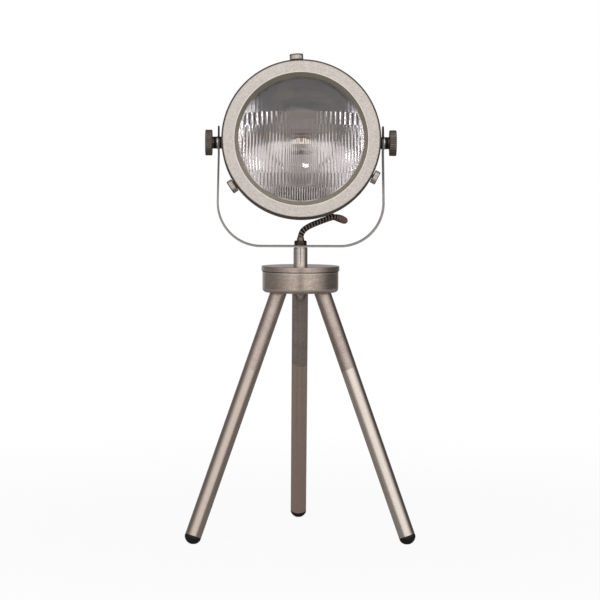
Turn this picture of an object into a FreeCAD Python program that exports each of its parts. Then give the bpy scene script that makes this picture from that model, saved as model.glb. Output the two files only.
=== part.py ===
import FreeCAD, Part
import math
import os

# Tabletop searchlight lamp: a round head in a U-shaped yoke on a tripod.
# Millimetres and degrees. +Z is up and the head faces -Y. The origin is on the table, in the
# middle of the part's outline, so the stem's axis stands a little towards the front.

V = FreeCAD.Vector
X, Y, Z = V(1, 0, 0), V(0, 1, 0), V(0, 0, 1)

# ---------------------------------------------------------------- fits
RUNNING_FIT = 0.08      # radial, round what turns or is screwed in
ASSEMBLY_GAP = 0.15     # radial, round what is only pushed together
BODY_GAP = 0.3          # between curved walls that slide over each other

# ---------------------------------------------------------------- tripod
HUB_UNDERSIDE = 304.8   # height over the table
HUB_RADIUS = 47.4
HUB_HEIGHT = 32.6       # lid included
HUB_WALL = 1.6
HUB_FLOOR = 3.0
HUB_EDGE = 5.0          # radius of the bottom edge
LID_WALL = 1.1
LID_PLATE = 2.0
LID_HEIGHT = 6.0
LID_EDGE = 0.9
LEG_SPLAY = 22.1        # of a leg's axis from the vertical
LEG_INSET = 5.8         # of the legs' tops from the hub's side
LEG_RADIUS = 10.1
LEG_WALL = 1.5
LEG_AZIMUTHS = {"rear": 90.0, "left": 210.0, "right": 330.0}
PLUG_LENGTH = 17.0
BOLT_RADIUS = 3.0
BOLT_DEPTH = 10.0       # into the leg's plug
BOLT_HEAD_FLATS = 10.0
BOLT_HEAD_HEIGHT = 4.0
BOLT_WASHER_RADIUS = 6.5
BOLT_WASHER = 1.2
FOOT_BAND = 2.5         # straight edge of the rubber foot
FOOT_DOME = 7.5         # height of its dome
FOOT_STEM = 12.0        # stretch of it inside the tube
FOOT_PAD = 0.5          # how much of the dome's lowest point is worn flat
INLET_RADIUS = 3.85     # mains inlet at the back of the hub, inside its grommet
GROMMET_LIP = 2.2       # how far the grommet's lips reach past its hole
GROMMET_LIP_THICKNESS = 1.5
GROMMET_WALL = 1.6

# ---------------------------------------------------------------- stem
ROD_RADIUS = 5.0        # hollow threaded rod
ROD_BORE = 3.8
STEM_RADIUS = 8.8
STEM_LENGTH = 22.2
STEM_WASHER_RADIUS = 8.25
STEM_WASHER = 1.5
GLAND_NUT_FLATS = 13.5
GLAND_NUT_HEIGHT = 6.0
BUSH_HEIGHT = 3.9
BUSH_BASE_RADIUS = 4.75
BUSH_TOP_RADIUS = 4.3
ROD_NUT_FLATS = 14.0
ROD_NUT_HEIGHT = 5.0
ROD_WASHER_RADIUS = 9.5
ROD_WASHER = 1.2
ROD_WINDOW_HEIGHT = 13.0    # side opening in the rod, for the cores
ROD_WINDOW_WIDTH = 6.0
CAP_NUT_FLATS = 14.0
CAP_NUT_HEX = 5.0
CAP_NUT_RADIUS = 6.7
CAP_NUT_LENGTH = 12.6
CAP_NUT_ROUND = 5.4         # of its end
CAP_NUT_BORE = 6.0          # depth

# ---------------------------------------------------------------- yoke
HEAD_CLEARANCE = 17.29      # between the yoke's foot and the head as it tilts
STRAP_WIDTH = 25.0
STRAP_THICKNESS = 2.0
STRAP_GAP = 2.9             # between the bezel ring and the strap
STRAP_LEAN = 1.2            # of the arms below the pivots
STRAP_STRAIGHT = 14.0       # upright stretch below the pivots
STRAP_TOP = 20.9            # above the pivots
STRAP_CORNER = 54.0
STRAP_BEND = 60.0           # at the top of the leaning stretch
TILT_WASHER_RADIUS = 8.0
TILT_WASHER = 1.4

# ---------------------------------------------------------------- tilt knobs
KNOB_RADIUS = 16.0
KNOB_LENGTH = 8.8
KNOB_EDGE = 0.8
KNOB_FLUTES = 44
KNOB_FLUTE_DEPTH = 0.45
COLLAR_RADIUS = 7.5
COLLAR_LENGTH = 5.5
TILT_SCREW_RADIUS = 3.0
TILT_SCREW_REACH = 16.0     # past the yoke, towards the head's axis

# ---------------------------------------------------------------- head, along its own axis
REST_TILT = 6.0             # front up
RING_FACE = 50.0            # ahead of the pivots
RING_DEPTH = 25.0
RING_FLANGE = 2.5
RING_WALL = 3.0
RING_EDGE = 2.4
RING_INNER_EDGE = 0.8
RING_BACK_EDGE = 0.6
RING_LIP = 4.0              # depth of the return at the opening
RING_LIP_WALL = 2.2
RING_THROAT_GAP = 0.4       # round the dome of the glass
GASKET = 1.5
LENS_FLANGE_RADIUS = 88.9   # 7 inch glass
LENS_FLANGE = 4.0
LENS_MARGIN = 4.4           # between the glass and the shell's collar
LENS_GRIP = 6.9             # how far the ring reaches over the glass
LENS_RIM = 5.5              # flat rim of the glass that shows inside the ring
LENS_CROWN = 13.0
LENS_GLASS = 4.0
FLUTE_MARGIN = 1.5          # plain edge of the dome on its back
FLUTE_RIDGE = 0.04          # of the ridges between flutes, inside the plain glass
PANEL = 18.5                # half the width of the fine middle panel
REFLECTOR_FLANGE = 1.0
REFLECTOR_SPARE = 2.5       # how far its mouth reaches past the dome of the glass
REFLECTOR_DEPTH = 56.5
REFLECTOR_WALL = 1.0
REFLECTOR_HOLE = 13.5
SEAT_WIDTH = 9.7            # ring inside the shell that the lens unit rests on
SEAT = 1.5
SHELL_WALL = 1.5
COLLAR_RISE = 3.2           # of the shell's collar over its drum
COLLAR_STEP = 3.0           # slope between the shell's front collar and its drum
COLLAR_INSET = 2.0          # how far the collar's end hides in the ring
SHELL_DRUM_BACK = 30.0      # where the drum ends, behind the pivots
SHOULDER_RADIUS = 40.0
SHOULDER_TURN = 75.0
BOSS_RADIUS = 7.5
SPIGOT_RADIUS = 5.5
SPIGOT_REACH = 9.0          # inside the drum's wall
PIVOT_NUT_FLATS = 14.0
PIVOT_NUT_HEIGHT = 4.0

# ---------------------------------------------------------------- bezel thumbscrews
THUMB_ANGLES = {"top": 93.4, "left": 214.2, "right": 333.4}
THUMB_SETBACK = 17.0        # behind the ring's face
THUMB_GAPS = {"top": 1.4, "left": 0.4, "right": 0.4}      # between the ring and each screw's head
THUMB_RADIUS = 8.4
THUMB_LENGTH = 6.9
THUMB_FLUTES = 28
THUMB_FLUTE_DEPTH = 0.3
THUMB_EDGE = 0.6
THUMB_SCREW_RADIUS = 2.4
THUMB_SCREW_LENGTH = 13.0
THUMB_NUT_FLATS = 7.0
THUMB_NUT_HEIGHT = 3.0

# ---------------------------------------------------------------- lamp holder and gland
HOLDER_RADIUS = 12.0
HOLDER_NOSE = 3.0           # how far it reaches into the reflector
HOLDER_LENGTH = 26.0
BULB_RADIUS = 8.0
BULB_LENGTH = 40.0
BULB_PIN_GAP = 1.0
BRACKET_WIDTH = 18.0
BRACKET_SHEET = 1.5
BRACKET_HALF_SPAN = 20.0
BRACKET_FOOT = 14.0
BRACKET_BEND = 3.0
RIVET_RADIUS = 2.0
RIVET_HEAD_RADIUS = 3.6
RIVET_HEAD_HEIGHT = 1.6
RIVET_SEAT_GAP = 0.15       # the foot is flat and the dome isn't
REAR_GLAND_DROP = 24.0      # below the head's axis
REAR_GLAND_FLATS = 17.0
REAR_GLAND_HEX = 5.0
REAR_GLAND_LENGTH = 17.0
REAR_GLAND_NOSE = 7.6
REAR_GLAND_MOUTH = 5.6
REAR_GLAND_THREAD = 6.0
REAR_GLAND_NUT = 4.0
REAR_GLAND_SPARE = 2.0      # of its thread past the nut
LEAD_LOW_TURN = 13.0        # the lead's first turn, inside the shell's skin
LEAD_LOW_BEND = 9.5
LEAD_HIGH_TURN = 13.0       # its second turn, behind the holder
LEAD_HIGH_BEND = 14.0

# ---------------------------------------------------------------- cord
CORD_RADIUS = 3.65
CORE_RADIUS = 1.1
# Points between the bush and the rear gland, from the stem's axis: out to the right under the
# head, round behind it and up to the gland.
CORD_POINTS = [
    V(0.9, 0.3, 378.9), V(6.8, 1.8, 384.9), V(17.5, 5.0, 390.0), V(29.5, 8.4, 394.4),
    V(41.3, 13.4, 398.4), V(51.0, 22.2, 397.0), V(56.4, 34.6, 393.4), V(56.2, 48.6, 391.6),
    V(51.2, 62.2, 393.0), V(43.0, 75.2, 396.2), V(33.2, 89.4, 400.4), V(22.6, 104.0, 406.2),
    V(12.6, 117.0, 417.6), V(5.4, 119.2, 436.2), V(0.8, 107.8, 451.4),
]
BLOCK_SIZE = V(22.0, 11.0, 10.0)    # terminal block
BLOCK_FRONT = 27.0                  # its middle, ahead of the stem's axis
BLOCK_BAYS = 3
BLOCK_SCREW_RADIUS = 1.6
CORE_SPREAD = 1.6                   # of the two cores from the rod's axis
CORE_DROP = 11.5                    # their straight stretch inside the rod

# ---------------------------------------------------------------- worked out
LEG_SLOPE = math.tan(math.radians(LEG_SPLAY))
LEG_TOP_RADIUS = HUB_RADIUS - LEG_RADIUS - LEG_INSET    # of the legs' axes, at the hub's underside
FOOT_SPHERE = (LEG_RADIUS ** 2 + FOOT_DOME ** 2) / (2 * FOOT_DOME)
FOOT_CENTRE_HEIGHT = FOOT_SPHERE - FOOT_PAD
FOOT_CIRCLE = LEG_TOP_RADIUS + (HUB_UNDERSIDE - FOOT_CENTRE_HEIGHT) * LEG_SLOPE
LEG_LENGTH = (HUB_UNDERSIDE - FOOT_CENTRE_HEIGHT) / math.cos(math.radians(LEG_SPLAY)) \
    + FOOT_SPHERE - FOOT_DOME - FOOT_BAND
STEM_Y = -FOOT_CIRCLE / 4           # puts the middle of the three feet's outline at the origin
HUB_TOP = HUB_UNDERSIDE + HUB_HEIGHT
FLOOR_TOP = HUB_UNDERSIDE + HUB_FLOOR
INLET_HEIGHT = (HUB_FLOOR + HUB_HEIGHT - LID_HEIGHT) / 2    # over the hub's underside
LID_UNDERSIDE = HUB_TOP - LID_PLATE
STEM_TOP = HUB_TOP + STEM_LENGTH
STRAP_UNDERSIDE = STEM_TOP + STEM_WASHER
STRAP_UPPER = STRAP_UNDERSIDE + STRAP_THICKNESS
BUSH_FOOT = STRAP_UPPER + GLAND_NUT_HEIGHT
CORD_EXIT = BUSH_FOOT + BUSH_HEIGHT
COLLAR_OUTER = LENS_FLANGE_RADIUS + LENS_MARGIN + SHELL_WALL
SHELL_RADIUS = COLLAR_OUTER - COLLAR_RISE
RING_RADIUS = COLLAR_OUTER + BODY_GAP + RING_WALL
RING_OPENING = LENS_FLANGE_RADIUS - LENS_GRIP
LENS_OPEN_RADIUS = RING_OPENING - LENS_RIM      # where the dome starts
FLUTED_RADIUS = LENS_OPEN_RADIUS - FLUTE_MARGIN
REFLECTOR_MOUTH = LENS_OPEN_RADIUS + REFLECTOR_SPARE
PIVOT_HEIGHT = STRAP_UPPER + math.hypot(RING_RADIUS, RING_FACE) + HEAD_CLEARANCE
STRAP_HALF_SPAN = RING_RADIUS + STRAP_GAP + STRAP_THICKNESS / 2     # middle of the strap at the pivots
STRAP_INNER = STRAP_HALF_SPAN - STRAP_THICKNESS / 2
STRAP_OUTER = STRAP_HALF_SPAN + STRAP_THICKNESS / 2
RING_BACK = RING_FACE - RING_DEPTH
COLLAR_BACK = RING_BACK + COLLAR_INSET
THUMB_PLACE = RING_FACE - THUMB_SETBACK
GASKET_FRONT = RING_FACE - RING_LIP
LENS_FRONT = GASKET_FRONT - GASKET
LENS_BACK = LENS_FRONT - LENS_FLANGE
LENS_OUTER = (LENS_OPEN_RADIUS ** 2 + LENS_CROWN ** 2) / (2 * LENS_CROWN)  # radius of the dome
LENS_CENTRE = LENS_FRONT + LENS_CROWN - LENS_OUTER
# The rows of flutes: from and to how far aside, lowest and highest, pitch, depth.
LENS_ROWS = {
    "crown": (0.0, FLUTED_RADIUS, 34.0, FLUTED_RADIUS, 4.5, 0.1),
    "shoulders": (PANEL, FLUTED_RADIUS, 18.0, 34.0, 5.8, 0.75),
    "sides": (PANEL, FLUTED_RADIUS, -42.0, 18.0, 4.0, 0.5),
    "panel": (0.0, PANEL, -42.0, 24.0, 2.4, 0.25),
    "lower": (0.0, FLUTED_RADIUS, -59.0, -42.0, 4.4, 0.35),
    "foot": (0.0, FLUTED_RADIUS, -FLUTED_RADIUS, -59.0, 3.0, 0.35),
}
RING_THROAT = LENS_OPEN_RADIUS + RING_THROAT_GAP    # of the ring's sloped opening, at the glass
SEAT_FRONT = LENS_BACK - REFLECTOR_FLANGE
HOLDER_FRONT = LENS_BACK - REFLECTOR_DEPTH + HOLDER_NOSE
DOME_RADIUS = (SHELL_RADIUS - SHOULDER_RADIUS * (1 - math.cos(math.radians(SHOULDER_TURN)))) \
    / math.cos(math.radians(SHOULDER_TURN))
DOME_CENTRE = SHOULDER_RADIUS * math.sin(math.radians(SHOULDER_TURN)) \
    - DOME_RADIUS * math.sin(math.radians(SHOULDER_TURN)) + SHELL_DRUM_BACK
SHELL_BACK = DOME_CENTRE + DOME_RADIUS

ON_STEM = FreeCAD.Placement(V(0, STEM_Y, 0), FreeCAD.Rotation())
# The head's parts are made with Z ahead, X to the right and Y up.
ON_HEAD = FreeCAD.Placement(V(0, STEM_Y, PIVOT_HEIGHT), FreeCAD.Rotation(X, 90 - REST_TILT))


# ---------------------------------------------------------------- helpers
def polar(radius, azimuth, height=0.0):
    """A point at an azimuth round the Z axis."""
    angle = math.radians(azimuth)
    return V(radius * math.cos(angle), radius * math.sin(angle), height)


def aimed(origin, direction):
    """The placement that moves the origin there and turns Z to a direction."""
    return FreeCAD.Placement(origin, FreeCAD.Rotation(Z, direction))


def beyond(point, direction):
    """A block past a plane, to cut the end of a cord to it."""
    side = 4 * CORD_RADIUS
    return placed(Part.makeBox(side, side, side, V(-side / 2, -side / 2, 0)), aimed(point, direction))


def placed(shape, placement):
    """A moved copy of a shape."""
    moved = shape.copy()
    moved.Placement = placement.multiply(moved.Placement)
    return moved


def rounded_path(points, radii, closed=False):
    """Straight runs joined by tangent arcs. radii holds one value for each corner, 0 for a sharp one."""
    count = len(points)
    corners = range(count) if closed else range(1, count - 1)
    ends = {}
    arcs = {}
    for corner, radius in zip(corners, radii):
        here = points[corner]
        back = (points[corner - 1] - here).normalize()
        ahead = (points[(corner + 1) % count] - here).normalize()
        if radius <= 0:
            ends[corner] = (here, here)
            continue
        half_turn = (math.pi - back.getAngle(ahead)) / 2
        reach = radius * math.tan(half_turn)
        bow = radius / math.cos(half_turn) - radius
        start = here + back * reach
        end = here + ahead * reach
        ends[corner] = (start, end)
        arcs[corner] = Part.Arc(start, here + (back + ahead).normalize() * bow, end).toShape()
    edges = []
    for number in range(count if closed else count - 1):
        following = (number + 1) % count
        start = ends.get(number, (points[number],) * 2)[1]
        end = ends.get(following, (points[following],) * 2)[0]
        if start.distanceToPoint(end) > 1e-6:
            edges.append(Part.LineSegment(start, end).toShape())
        if following in arcs:
            edges.append(arcs[following])
    return edges


def turned(*corners):
    """A solid of revolution about Z. Each corner of its section is (radius, height[, corner radius])."""
    points = [V(corner[0], 0, corner[1]) for corner in corners]
    radii = [corner[2] if len(corner) > 2 else 0 for corner in corners]
    face = Part.Face(Part.Wire(rounded_path(points, radii, closed=True)))
    return face.revolve(V(), Z, 360)


def ring(outer, inner, bottom, height):
    """A plain ring or washer on the Z axis."""
    return turned((inner, bottom), (outer, bottom), (outer, bottom + height), (inner, bottom + height))


def rod(radius, bottom, height):
    """A plain cylinder on the Z axis."""
    return Part.makeCylinder(radius, height, V(0, 0, bottom), Z)


def prism(outline, bottom, height):
    """A prism from (x, y) points."""
    points = [V(x, y, bottom) for x, y in outline]
    return Part.Face(Part.makePolygon(points + points[:1])).extrude(Z * height)


def hexagon(flats, bottom, height, chamfer=0.0, hole=0.0):
    """A hexagonal nut or head on the Z axis with a flat facing -Y, chamfered on top."""
    corner = flats / math.sqrt(3)
    shape = prism([(polar(corner, 60 * k).x, polar(corner, 60 * k).y) for k in range(6)], bottom, height)
    if chamfer:
        top = bottom + height
        round_top = turned((0, bottom), (corner, bottom), (corner, top - chamfer), (flats / 2, top), (0, top))
        shape = shape.common(round_top)
    if hole:
        shape = shape.cut(rod(hole, bottom - 1, height + 2))
    return shape


def fluted(radius, depth, count, bottom, height, edge):
    """A round head with a knurled rim and bevelled edges, on the Z axis."""
    outline = []
    for k in range(2 * count):
        point = polar(radius - depth * (k % 2), 180.0 * k / count)
        outline.append((point.x, point.y))
    top = bottom + height
    blank = turned(
        (0, bottom), (radius - edge, bottom), (radius, bottom + edge),
        (radius, top - edge), (radius - edge, top), (0, top),
    )
    return prism(outline, bottom, height).common(blank)


def strip(points, radii, thickness, width):
    """A bent flat bar: the middle of its section follows points in the XZ plane, and Y is its width."""
    sides = []
    for side in (0.5, -0.5):
        line = []
        for number, point in enumerate(points):
            normals = []
            for a, b in ((number - 1, number), (number, number + 1)):
                if 0 <= a and b < len(points):
                    run = (points[b] - points[a]).normalize()
                    normals.append(V(-run.z, 0, run.x))
            total = sum(normals[1:], normals[0])
            line.append(point + total * (side * thickness * len(normals) / total.dot(total)))
        turns = []
        for number in range(1, len(points) - 1):
            before = points[number] - points[number - 1]
            after = points[number + 1] - points[number]
            bend = math.copysign(1, before.cross(after).dot(Y))
            turns.append(radii[number - 1] + bend * side * thickness)
        edges = rounded_path(line, turns)
        sides.append((line, edges))
    (left, left_edges), (right, right_edges) = sides
    caps = [Part.LineSegment(left[-1], right[-1]).toShape(), Part.LineSegment(right[0], left[0]).toShape()]
    wire = Part.Wire(Part.__sortEdges__(left_edges + right_edges + caps))
    return Part.Face(wire).extrude(Y * width).translated(Y * (-width / 2))


def cord_radii(points):
    """The largest arc that the two runs at each inner point allow."""
    radii = []
    for before, here, after in zip(points, points[1:], points[2:]):
        back = before - here
        ahead = after - here
        half_turn = (math.pi - back.getAngle(ahead)) / 2
        radii.append(0.45 * min(back.Length, ahead.Length) / math.tan(half_turn))
    return radii


def tube(points, radius, bends=None):
    """A round cord along points, with its bends as tangent arcs."""
    bends = bends or cord_radii(points)
    path = Part.Wire(rounded_path(points, bends))
    section = Part.Wire(Part.Circle(points[0], points[1] - points[0], radius).toShape())
    solid = path.makePipeShell([section], True, False)
    share = solid.Volume / (math.pi * radius ** 2 * path.Length)
    print(f"cord of radius {radius}: length {path.Length:.1f}, volume share {share:.4f}, "
          f"bends {[round(bend, 1) for bend in bends]}")
    return solid


def save(node, shape, placement=ON_STEM):
    """Write one sub-part, with its solids the right way round."""
    solids = []
    for solid in placed(shape, placement).Solids:
        if solid.Volume < 0:
            solid.reverse()
        solids.append(solid)
    result = solids[0] if len(solids) == 1 else Part.makeCompound(solids)
    if not result.isValid():
        print("not valid:", node)
    result.exportStep(f"parts/{node}.step")


# ---------------------------------------------------------------- tripod
def leg_frame(azimuth):
    """Places a leg made on the Z axis, with Z up the leg and the origin at the hub's underside."""
    outward = polar(LEG_SLOPE, azimuth)
    return aimed(polar(LEG_TOP_RADIUS, azimuth, HUB_UNDERSIDE), Z - outward)


def below_hub(shape):
    """The part of a shape below the hub's underside."""
    size = 4 * HUB_RADIUS
    return shape.cut(Part.makeBox(size, size, size, V(-size / 2, -size / 2, HUB_UNDERSIDE)))


def at_legs(shape):
    """A copy of an upright shape over each leg's top."""
    return Part.makeCompound([shape.translated(polar(LEG_TOP_RADIUS, a)) for a in LEG_AZIMUTHS.values()])


def leg_bolt_holes(radius):
    """Upright holes through the hub's floor into the legs' plugs."""
    bottom = HUB_UNDERSIDE - BOLT_DEPTH - RUNNING_FIT
    hole = rod(radius, bottom, FLOOR_TOP + HUB_FLOOR - bottom)
    return at_legs(hole)


def hub_body():
    outer = HUB_RADIUS
    inner = outer - HUB_WALL
    hole = ROD_RADIUS + RUNNING_FIT
    cup = turned(
        (hole, HUB_UNDERSIDE), (outer, HUB_UNDERSIDE, HUB_EDGE), (outer, LID_UNDERSIDE),
        (inner, LID_UNDERSIDE), (inner, FLOOR_TOP, HUB_EDGE - HUB_WALL), (hole, FLOOR_TOP),
    )
    inlet = Part.makeCylinder(INLET_RADIUS + GROMMET_WALL, outer, V(0, 0, HUB_UNDERSIDE + INLET_HEIGHT), Y)
    return cup.cut(inlet).cut(leg_bolt_holes(BOLT_RADIUS + ASSEMBLY_GAP))


def hub_lid():
    inner = HUB_RADIUS + ASSEMBLY_GAP
    outer = inner + LID_WALL
    skirt = HUB_TOP - LID_HEIGHT
    return turned(
        (ROD_RADIUS + RUNNING_FIT, LID_UNDERSIDE), (inner, LID_UNDERSIDE), (inner, skirt), (outer, skirt),
        (outer, HUB_TOP, LID_EDGE), (ROD_RADIUS + RUNNING_FIT, HUB_TOP),
    )


def leg(azimuth):
    spare = LEG_RADIUS
    tube_blank = ring(LEG_RADIUS, LEG_RADIUS - LEG_WALL, -LEG_LENGTH, LEG_LENGTH + spare)
    return below_hub(placed(tube_blank, leg_frame(azimuth)))


def leg_plugs():
    blank = rod(LEG_RADIUS - LEG_WALL - ASSEMBLY_GAP / 2, -PLUG_LENGTH, PLUG_LENGTH + LEG_RADIUS)
    plugs = [below_hub(placed(blank, leg_frame(azimuth))) for azimuth in LEG_AZIMUTHS.values()]
    return Part.makeCompound(plugs).cut(leg_bolt_holes(BOLT_RADIUS + RUNNING_FIT))


def leg_washers():
    return at_legs(ring(BOLT_WASHER_RADIUS, BOLT_RADIUS + ASSEMBLY_GAP, FLOOR_TOP, BOLT_WASHER))


def leg_bolts():
    seat = FLOOR_TOP + BOLT_WASHER
    head = hexagon(BOLT_HEAD_FLATS, seat, BOLT_HEAD_HEIGHT, chamfer=0.6)
    shank = rod(BOLT_RADIUS, HUB_UNDERSIDE - BOLT_DEPTH, seat - HUB_UNDERSIDE + BOLT_DEPTH)
    return at_legs(head.fuse(shank))


def foot(azimuth):
    end = -LEG_LENGTH
    band = end - FOOT_BAND
    plug = LEG_RADIUS - LEG_WALL - ASSEMBLY_GAP / 2
    dome = Part.makeSphere(FOOT_SPHERE, V(0, 0, band + FOOT_SPHERE - FOOT_DOME))
    blank = turned(
        (0, band - FOOT_DOME), (LEG_RADIUS, band - FOOT_DOME), (LEG_RADIUS, end), (plug, end),
        (plug, end + FOOT_STEM, 1.0), (0, end + FOOT_STEM),
    )
    upper = rod(LEG_RADIUS, band, FOOT_BAND + FOOT_STEM)
    shape = placed(blank.common(dome.fuse(upper)), leg_frame(azimuth))
    size = 8 * LEG_RADIUS
    ground = Part.makeBox(size, size, size, polar(FOOT_CIRCLE, azimuth) - V(size / 2, size / 2, size))
    return shape.cut(ground)


def inlet_grommet():
    outer = INLET_RADIUS + GROMMET_WALL
    wall_back = HUB_RADIUS
    wall_front = HUB_RADIUS - HUB_WALL
    lip = outer + GROMMET_LIP
    sleeve = turned(
        (INLET_RADIUS, wall_front - GROMMET_LIP_THICKNESS), (lip, wall_front - GROMMET_LIP_THICKNESS, 0.5),
        (lip, wall_back + GROMMET_LIP_THICKNESS, 0.5), (INLET_RADIUS, wall_back + GROMMET_LIP_THICKNESS),
    )
    place = FreeCAD.Placement(V(0, 0, HUB_UNDERSIDE + INLET_HEIGHT), FreeCAD.Rotation(X, -90))
    cup_wall = ring(HUB_RADIUS, HUB_RADIUS - HUB_WALL, HUB_UNDERSIDE, HUB_HEIGHT)
    passage = Part.makeCylinder(outer - RUNNING_FIT, 2 * HUB_RADIUS, V(0, 0, HUB_UNDERSIDE + INLET_HEIGHT), Y)
    return placed(sleeve, place).cut(cup_wall.cut(passage))


# ---------------------------------------------------------------- stem
def threaded_rod():
    cap_floor = HUB_UNDERSIDE - CAP_NUT_HEX
    shape = ring(ROD_RADIUS, ROD_BORE, cap_floor, BUSH_FOOT - cap_floor)
    window = Part.makeBox(
        ROD_WINDOW_WIDTH, 2 * ROD_RADIUS, ROD_WINDOW_HEIGHT,
        V(-ROD_WINDOW_WIDTH / 2, -2 * ROD_RADIUS, FLOOR_TOP + ROD_NUT_HEIGHT),
    )
    return shape.cut(window)


def cap_nut():
    low = HUB_UNDERSIDE - CAP_NUT_LENGTH
    hex_part = hexagon(CAP_NUT_FLATS, HUB_UNDERSIDE - CAP_NUT_HEX, CAP_NUT_HEX)
    cap = turned(
        (0, low), (CAP_NUT_RADIUS, low, CAP_NUT_ROUND), (CAP_NUT_RADIUS, HUB_UNDERSIDE), (0, HUB_UNDERSIDE)
    )
    bore = rod(ROD_RADIUS + RUNNING_FIT, HUB_UNDERSIDE - CAP_NUT_BORE, 2 * CAP_NUT_BORE)
    return hex_part.fuse(cap).cut(bore)


def floor_nut():
    return hexagon(ROD_NUT_FLATS, FLOOR_TOP, ROD_NUT_HEIGHT, chamfer=0.8, hole=ROD_RADIUS + RUNNING_FIT)


def lid_washer():
    return ring(ROD_WASHER_RADIUS, ROD_RADIUS + ASSEMBLY_GAP, LID_UNDERSIDE - ROD_WASHER, ROD_WASHER)


def lid_nut():
    bottom = LID_UNDERSIDE - ROD_WASHER - ROD_NUT_HEIGHT
    return hexagon(ROD_NUT_FLATS, bottom, ROD_NUT_HEIGHT, hole=ROD_RADIUS + RUNNING_FIT)


def stem_tube():
    return turned(
        (ROD_RADIUS + ASSEMBLY_GAP, HUB_TOP), (STEM_RADIUS, HUB_TOP), (STEM_RADIUS, STEM_TOP, 0.4),
        (ROD_RADIUS + ASSEMBLY_GAP, STEM_TOP),
    )


def stem_washer():
    return ring(STEM_WASHER_RADIUS, ROD_RADIUS + ASSEMBLY_GAP, STEM_TOP, STEM_WASHER)


def gland_nut():
    return hexagon(
        GLAND_NUT_FLATS, STRAP_UPPER, GLAND_NUT_HEIGHT, chamfer=1.2, hole=ROD_RADIUS + RUNNING_FIT
    )


def cord_bush():
    outside = (BUSH_BASE_RADIUS, BUSH_FOOT), (BUSH_TOP_RADIUS, CORD_EXIT)
    return turned((ROD_BORE, BUSH_FOOT), *outside, (ROD_BORE, CORD_EXIT))


def stem_lead():
    lead = rod(CORD_RADIUS, LID_UNDERSIDE, CORD_EXIT + CORD_RADIUS - LID_UNDERSIDE)
    start = V(0, 0, CORD_EXIT)
    return lead.cut(beyond(start, CORD_POINTS[0] - start))


def terminal_block():
    low = V(-BLOCK_SIZE.x / 2, -BLOCK_FRONT - BLOCK_SIZE.y / 2, FLOOR_TOP)
    block = Part.makeBox(BLOCK_SIZE.x, BLOCK_SIZE.y, BLOCK_SIZE.z, low)
    for bay in (-1, 0, 1):
        middle = V(bay * BLOCK_SIZE.x / BLOCK_BAYS, -BLOCK_FRONT, FLOOR_TOP + BLOCK_SIZE.z / 2)
        entry = Part.makeCylinder(CORE_RADIUS + ASSEMBLY_GAP, 2 * BLOCK_SIZE.y, middle - Y * BLOCK_SIZE.y, Y)
        screw = Part.makeCylinder(BLOCK_SCREW_RADIUS, BLOCK_SIZE.z, middle)
        block = block.cut(screw).cut(entry)
    return block


def supply_cores():
    cores = []
    height = FLOOR_TOP + BLOCK_SIZE.z / 2
    for side in (-1, 1):
        start = V(side * CORE_SPREAD, 0, LID_UNDERSIDE)
        end = V(side * BLOCK_SIZE.x / BLOCK_BAYS, -BLOCK_FRONT, height)
        before_end = end + V(0, BLOCK_SIZE.y / 2 + 4, 0)
        halfway = V(side * 1.8, -11.0, height + 1.5)
        cores.append(tube([start, start - Z * CORE_DROP, halfway, before_end, end], CORE_RADIUS))
    return Part.makeCompound(cores)


# ---------------------------------------------------------------- yoke
def yoke_strap():
    lean = math.tan(math.radians(STRAP_LEAN))
    middle = STRAP_UNDERSIDE + STRAP_THICKNESS / 2
    bend = PIVOT_HEIGHT - STRAP_STRAIGHT
    foot_span = STRAP_HALF_SPAN + (bend - middle) * lean
    top = PIVOT_HEIGHT + STRAP_TOP
    right = [V(foot_span, 0, middle), V(STRAP_HALF_SPAN, 0, bend), V(STRAP_HALF_SPAN, 0, top)]
    left = [V(-p.x, 0, p.z) for p in reversed(right)]
    radii = [STRAP_BEND, STRAP_CORNER, STRAP_CORNER, STRAP_BEND]
    bar = strip(left + right, radii, STRAP_THICKNESS, STRAP_WIDTH)
    half = STRAP_WIDTH / 2
    span = 2 * STRAP_OUTER
    for side in (-1, 1):
        corner = Part.makeBox(span, half, half, V(-span / 2, 0 if side > 0 else -half, top - half))
        corner = corner.cut(Part.makeCylinder(half, span, V(-span / 2, 0, top - half), X))
        bar = bar.cut(corner)
    pivots = Part.makeCylinder(TILT_SCREW_RADIUS + RUNNING_FIT, 2 * span, V(-span, 0, PIVOT_HEIGHT), X)
    return bar.cut(pivots).cut(rod(ROD_RADIUS + RUNNING_FIT, STRAP_UNDERSIDE - 1, STRAP_THICKNESS + 2))


def tilt_washers():
    washer = ring(TILT_WASHER_RADIUS, TILT_SCREW_RADIUS + ASSEMBLY_GAP, STRAP_OUTER, TILT_WASHER)
    return Part.makeCompound([placed(washer, aimed(V(0, 0, PIVOT_HEIGHT), X * side)) for side in (-1, 1)])


def tilt_knob(side):
    seat = STRAP_OUTER + TILT_WASHER
    head = fluted(KNOB_RADIUS, KNOB_FLUTE_DEPTH, KNOB_FLUTES, seat + COLLAR_LENGTH, KNOB_LENGTH, KNOB_EDGE)
    collar = rod(COLLAR_RADIUS, seat, COLLAR_LENGTH)
    screw = rod(TILT_SCREW_RADIUS, STRAP_INNER - TILT_SCREW_REACH, TILT_SCREW_REACH + seat - STRAP_INNER)
    return placed(head.fuse(collar).fuse(screw), aimed(V(0, 0, PIVOT_HEIGHT), X * side))


# ---------------------------------------------------------------- head (Z ahead, Y up)
def thumb_frame(angle):
    """Places a screw made on the Z axis, with Z outwards from the head's axis."""
    return aimed(V(0, 0, THUMB_PLACE), polar(1, angle))


def thumb_holes(radius):
    hole = rod(radius, RING_RADIUS / 2, RING_RADIUS)
    return Part.makeCompound([placed(hole, thumb_frame(angle)) for angle in THUMB_ANGLES.values()])


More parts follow.
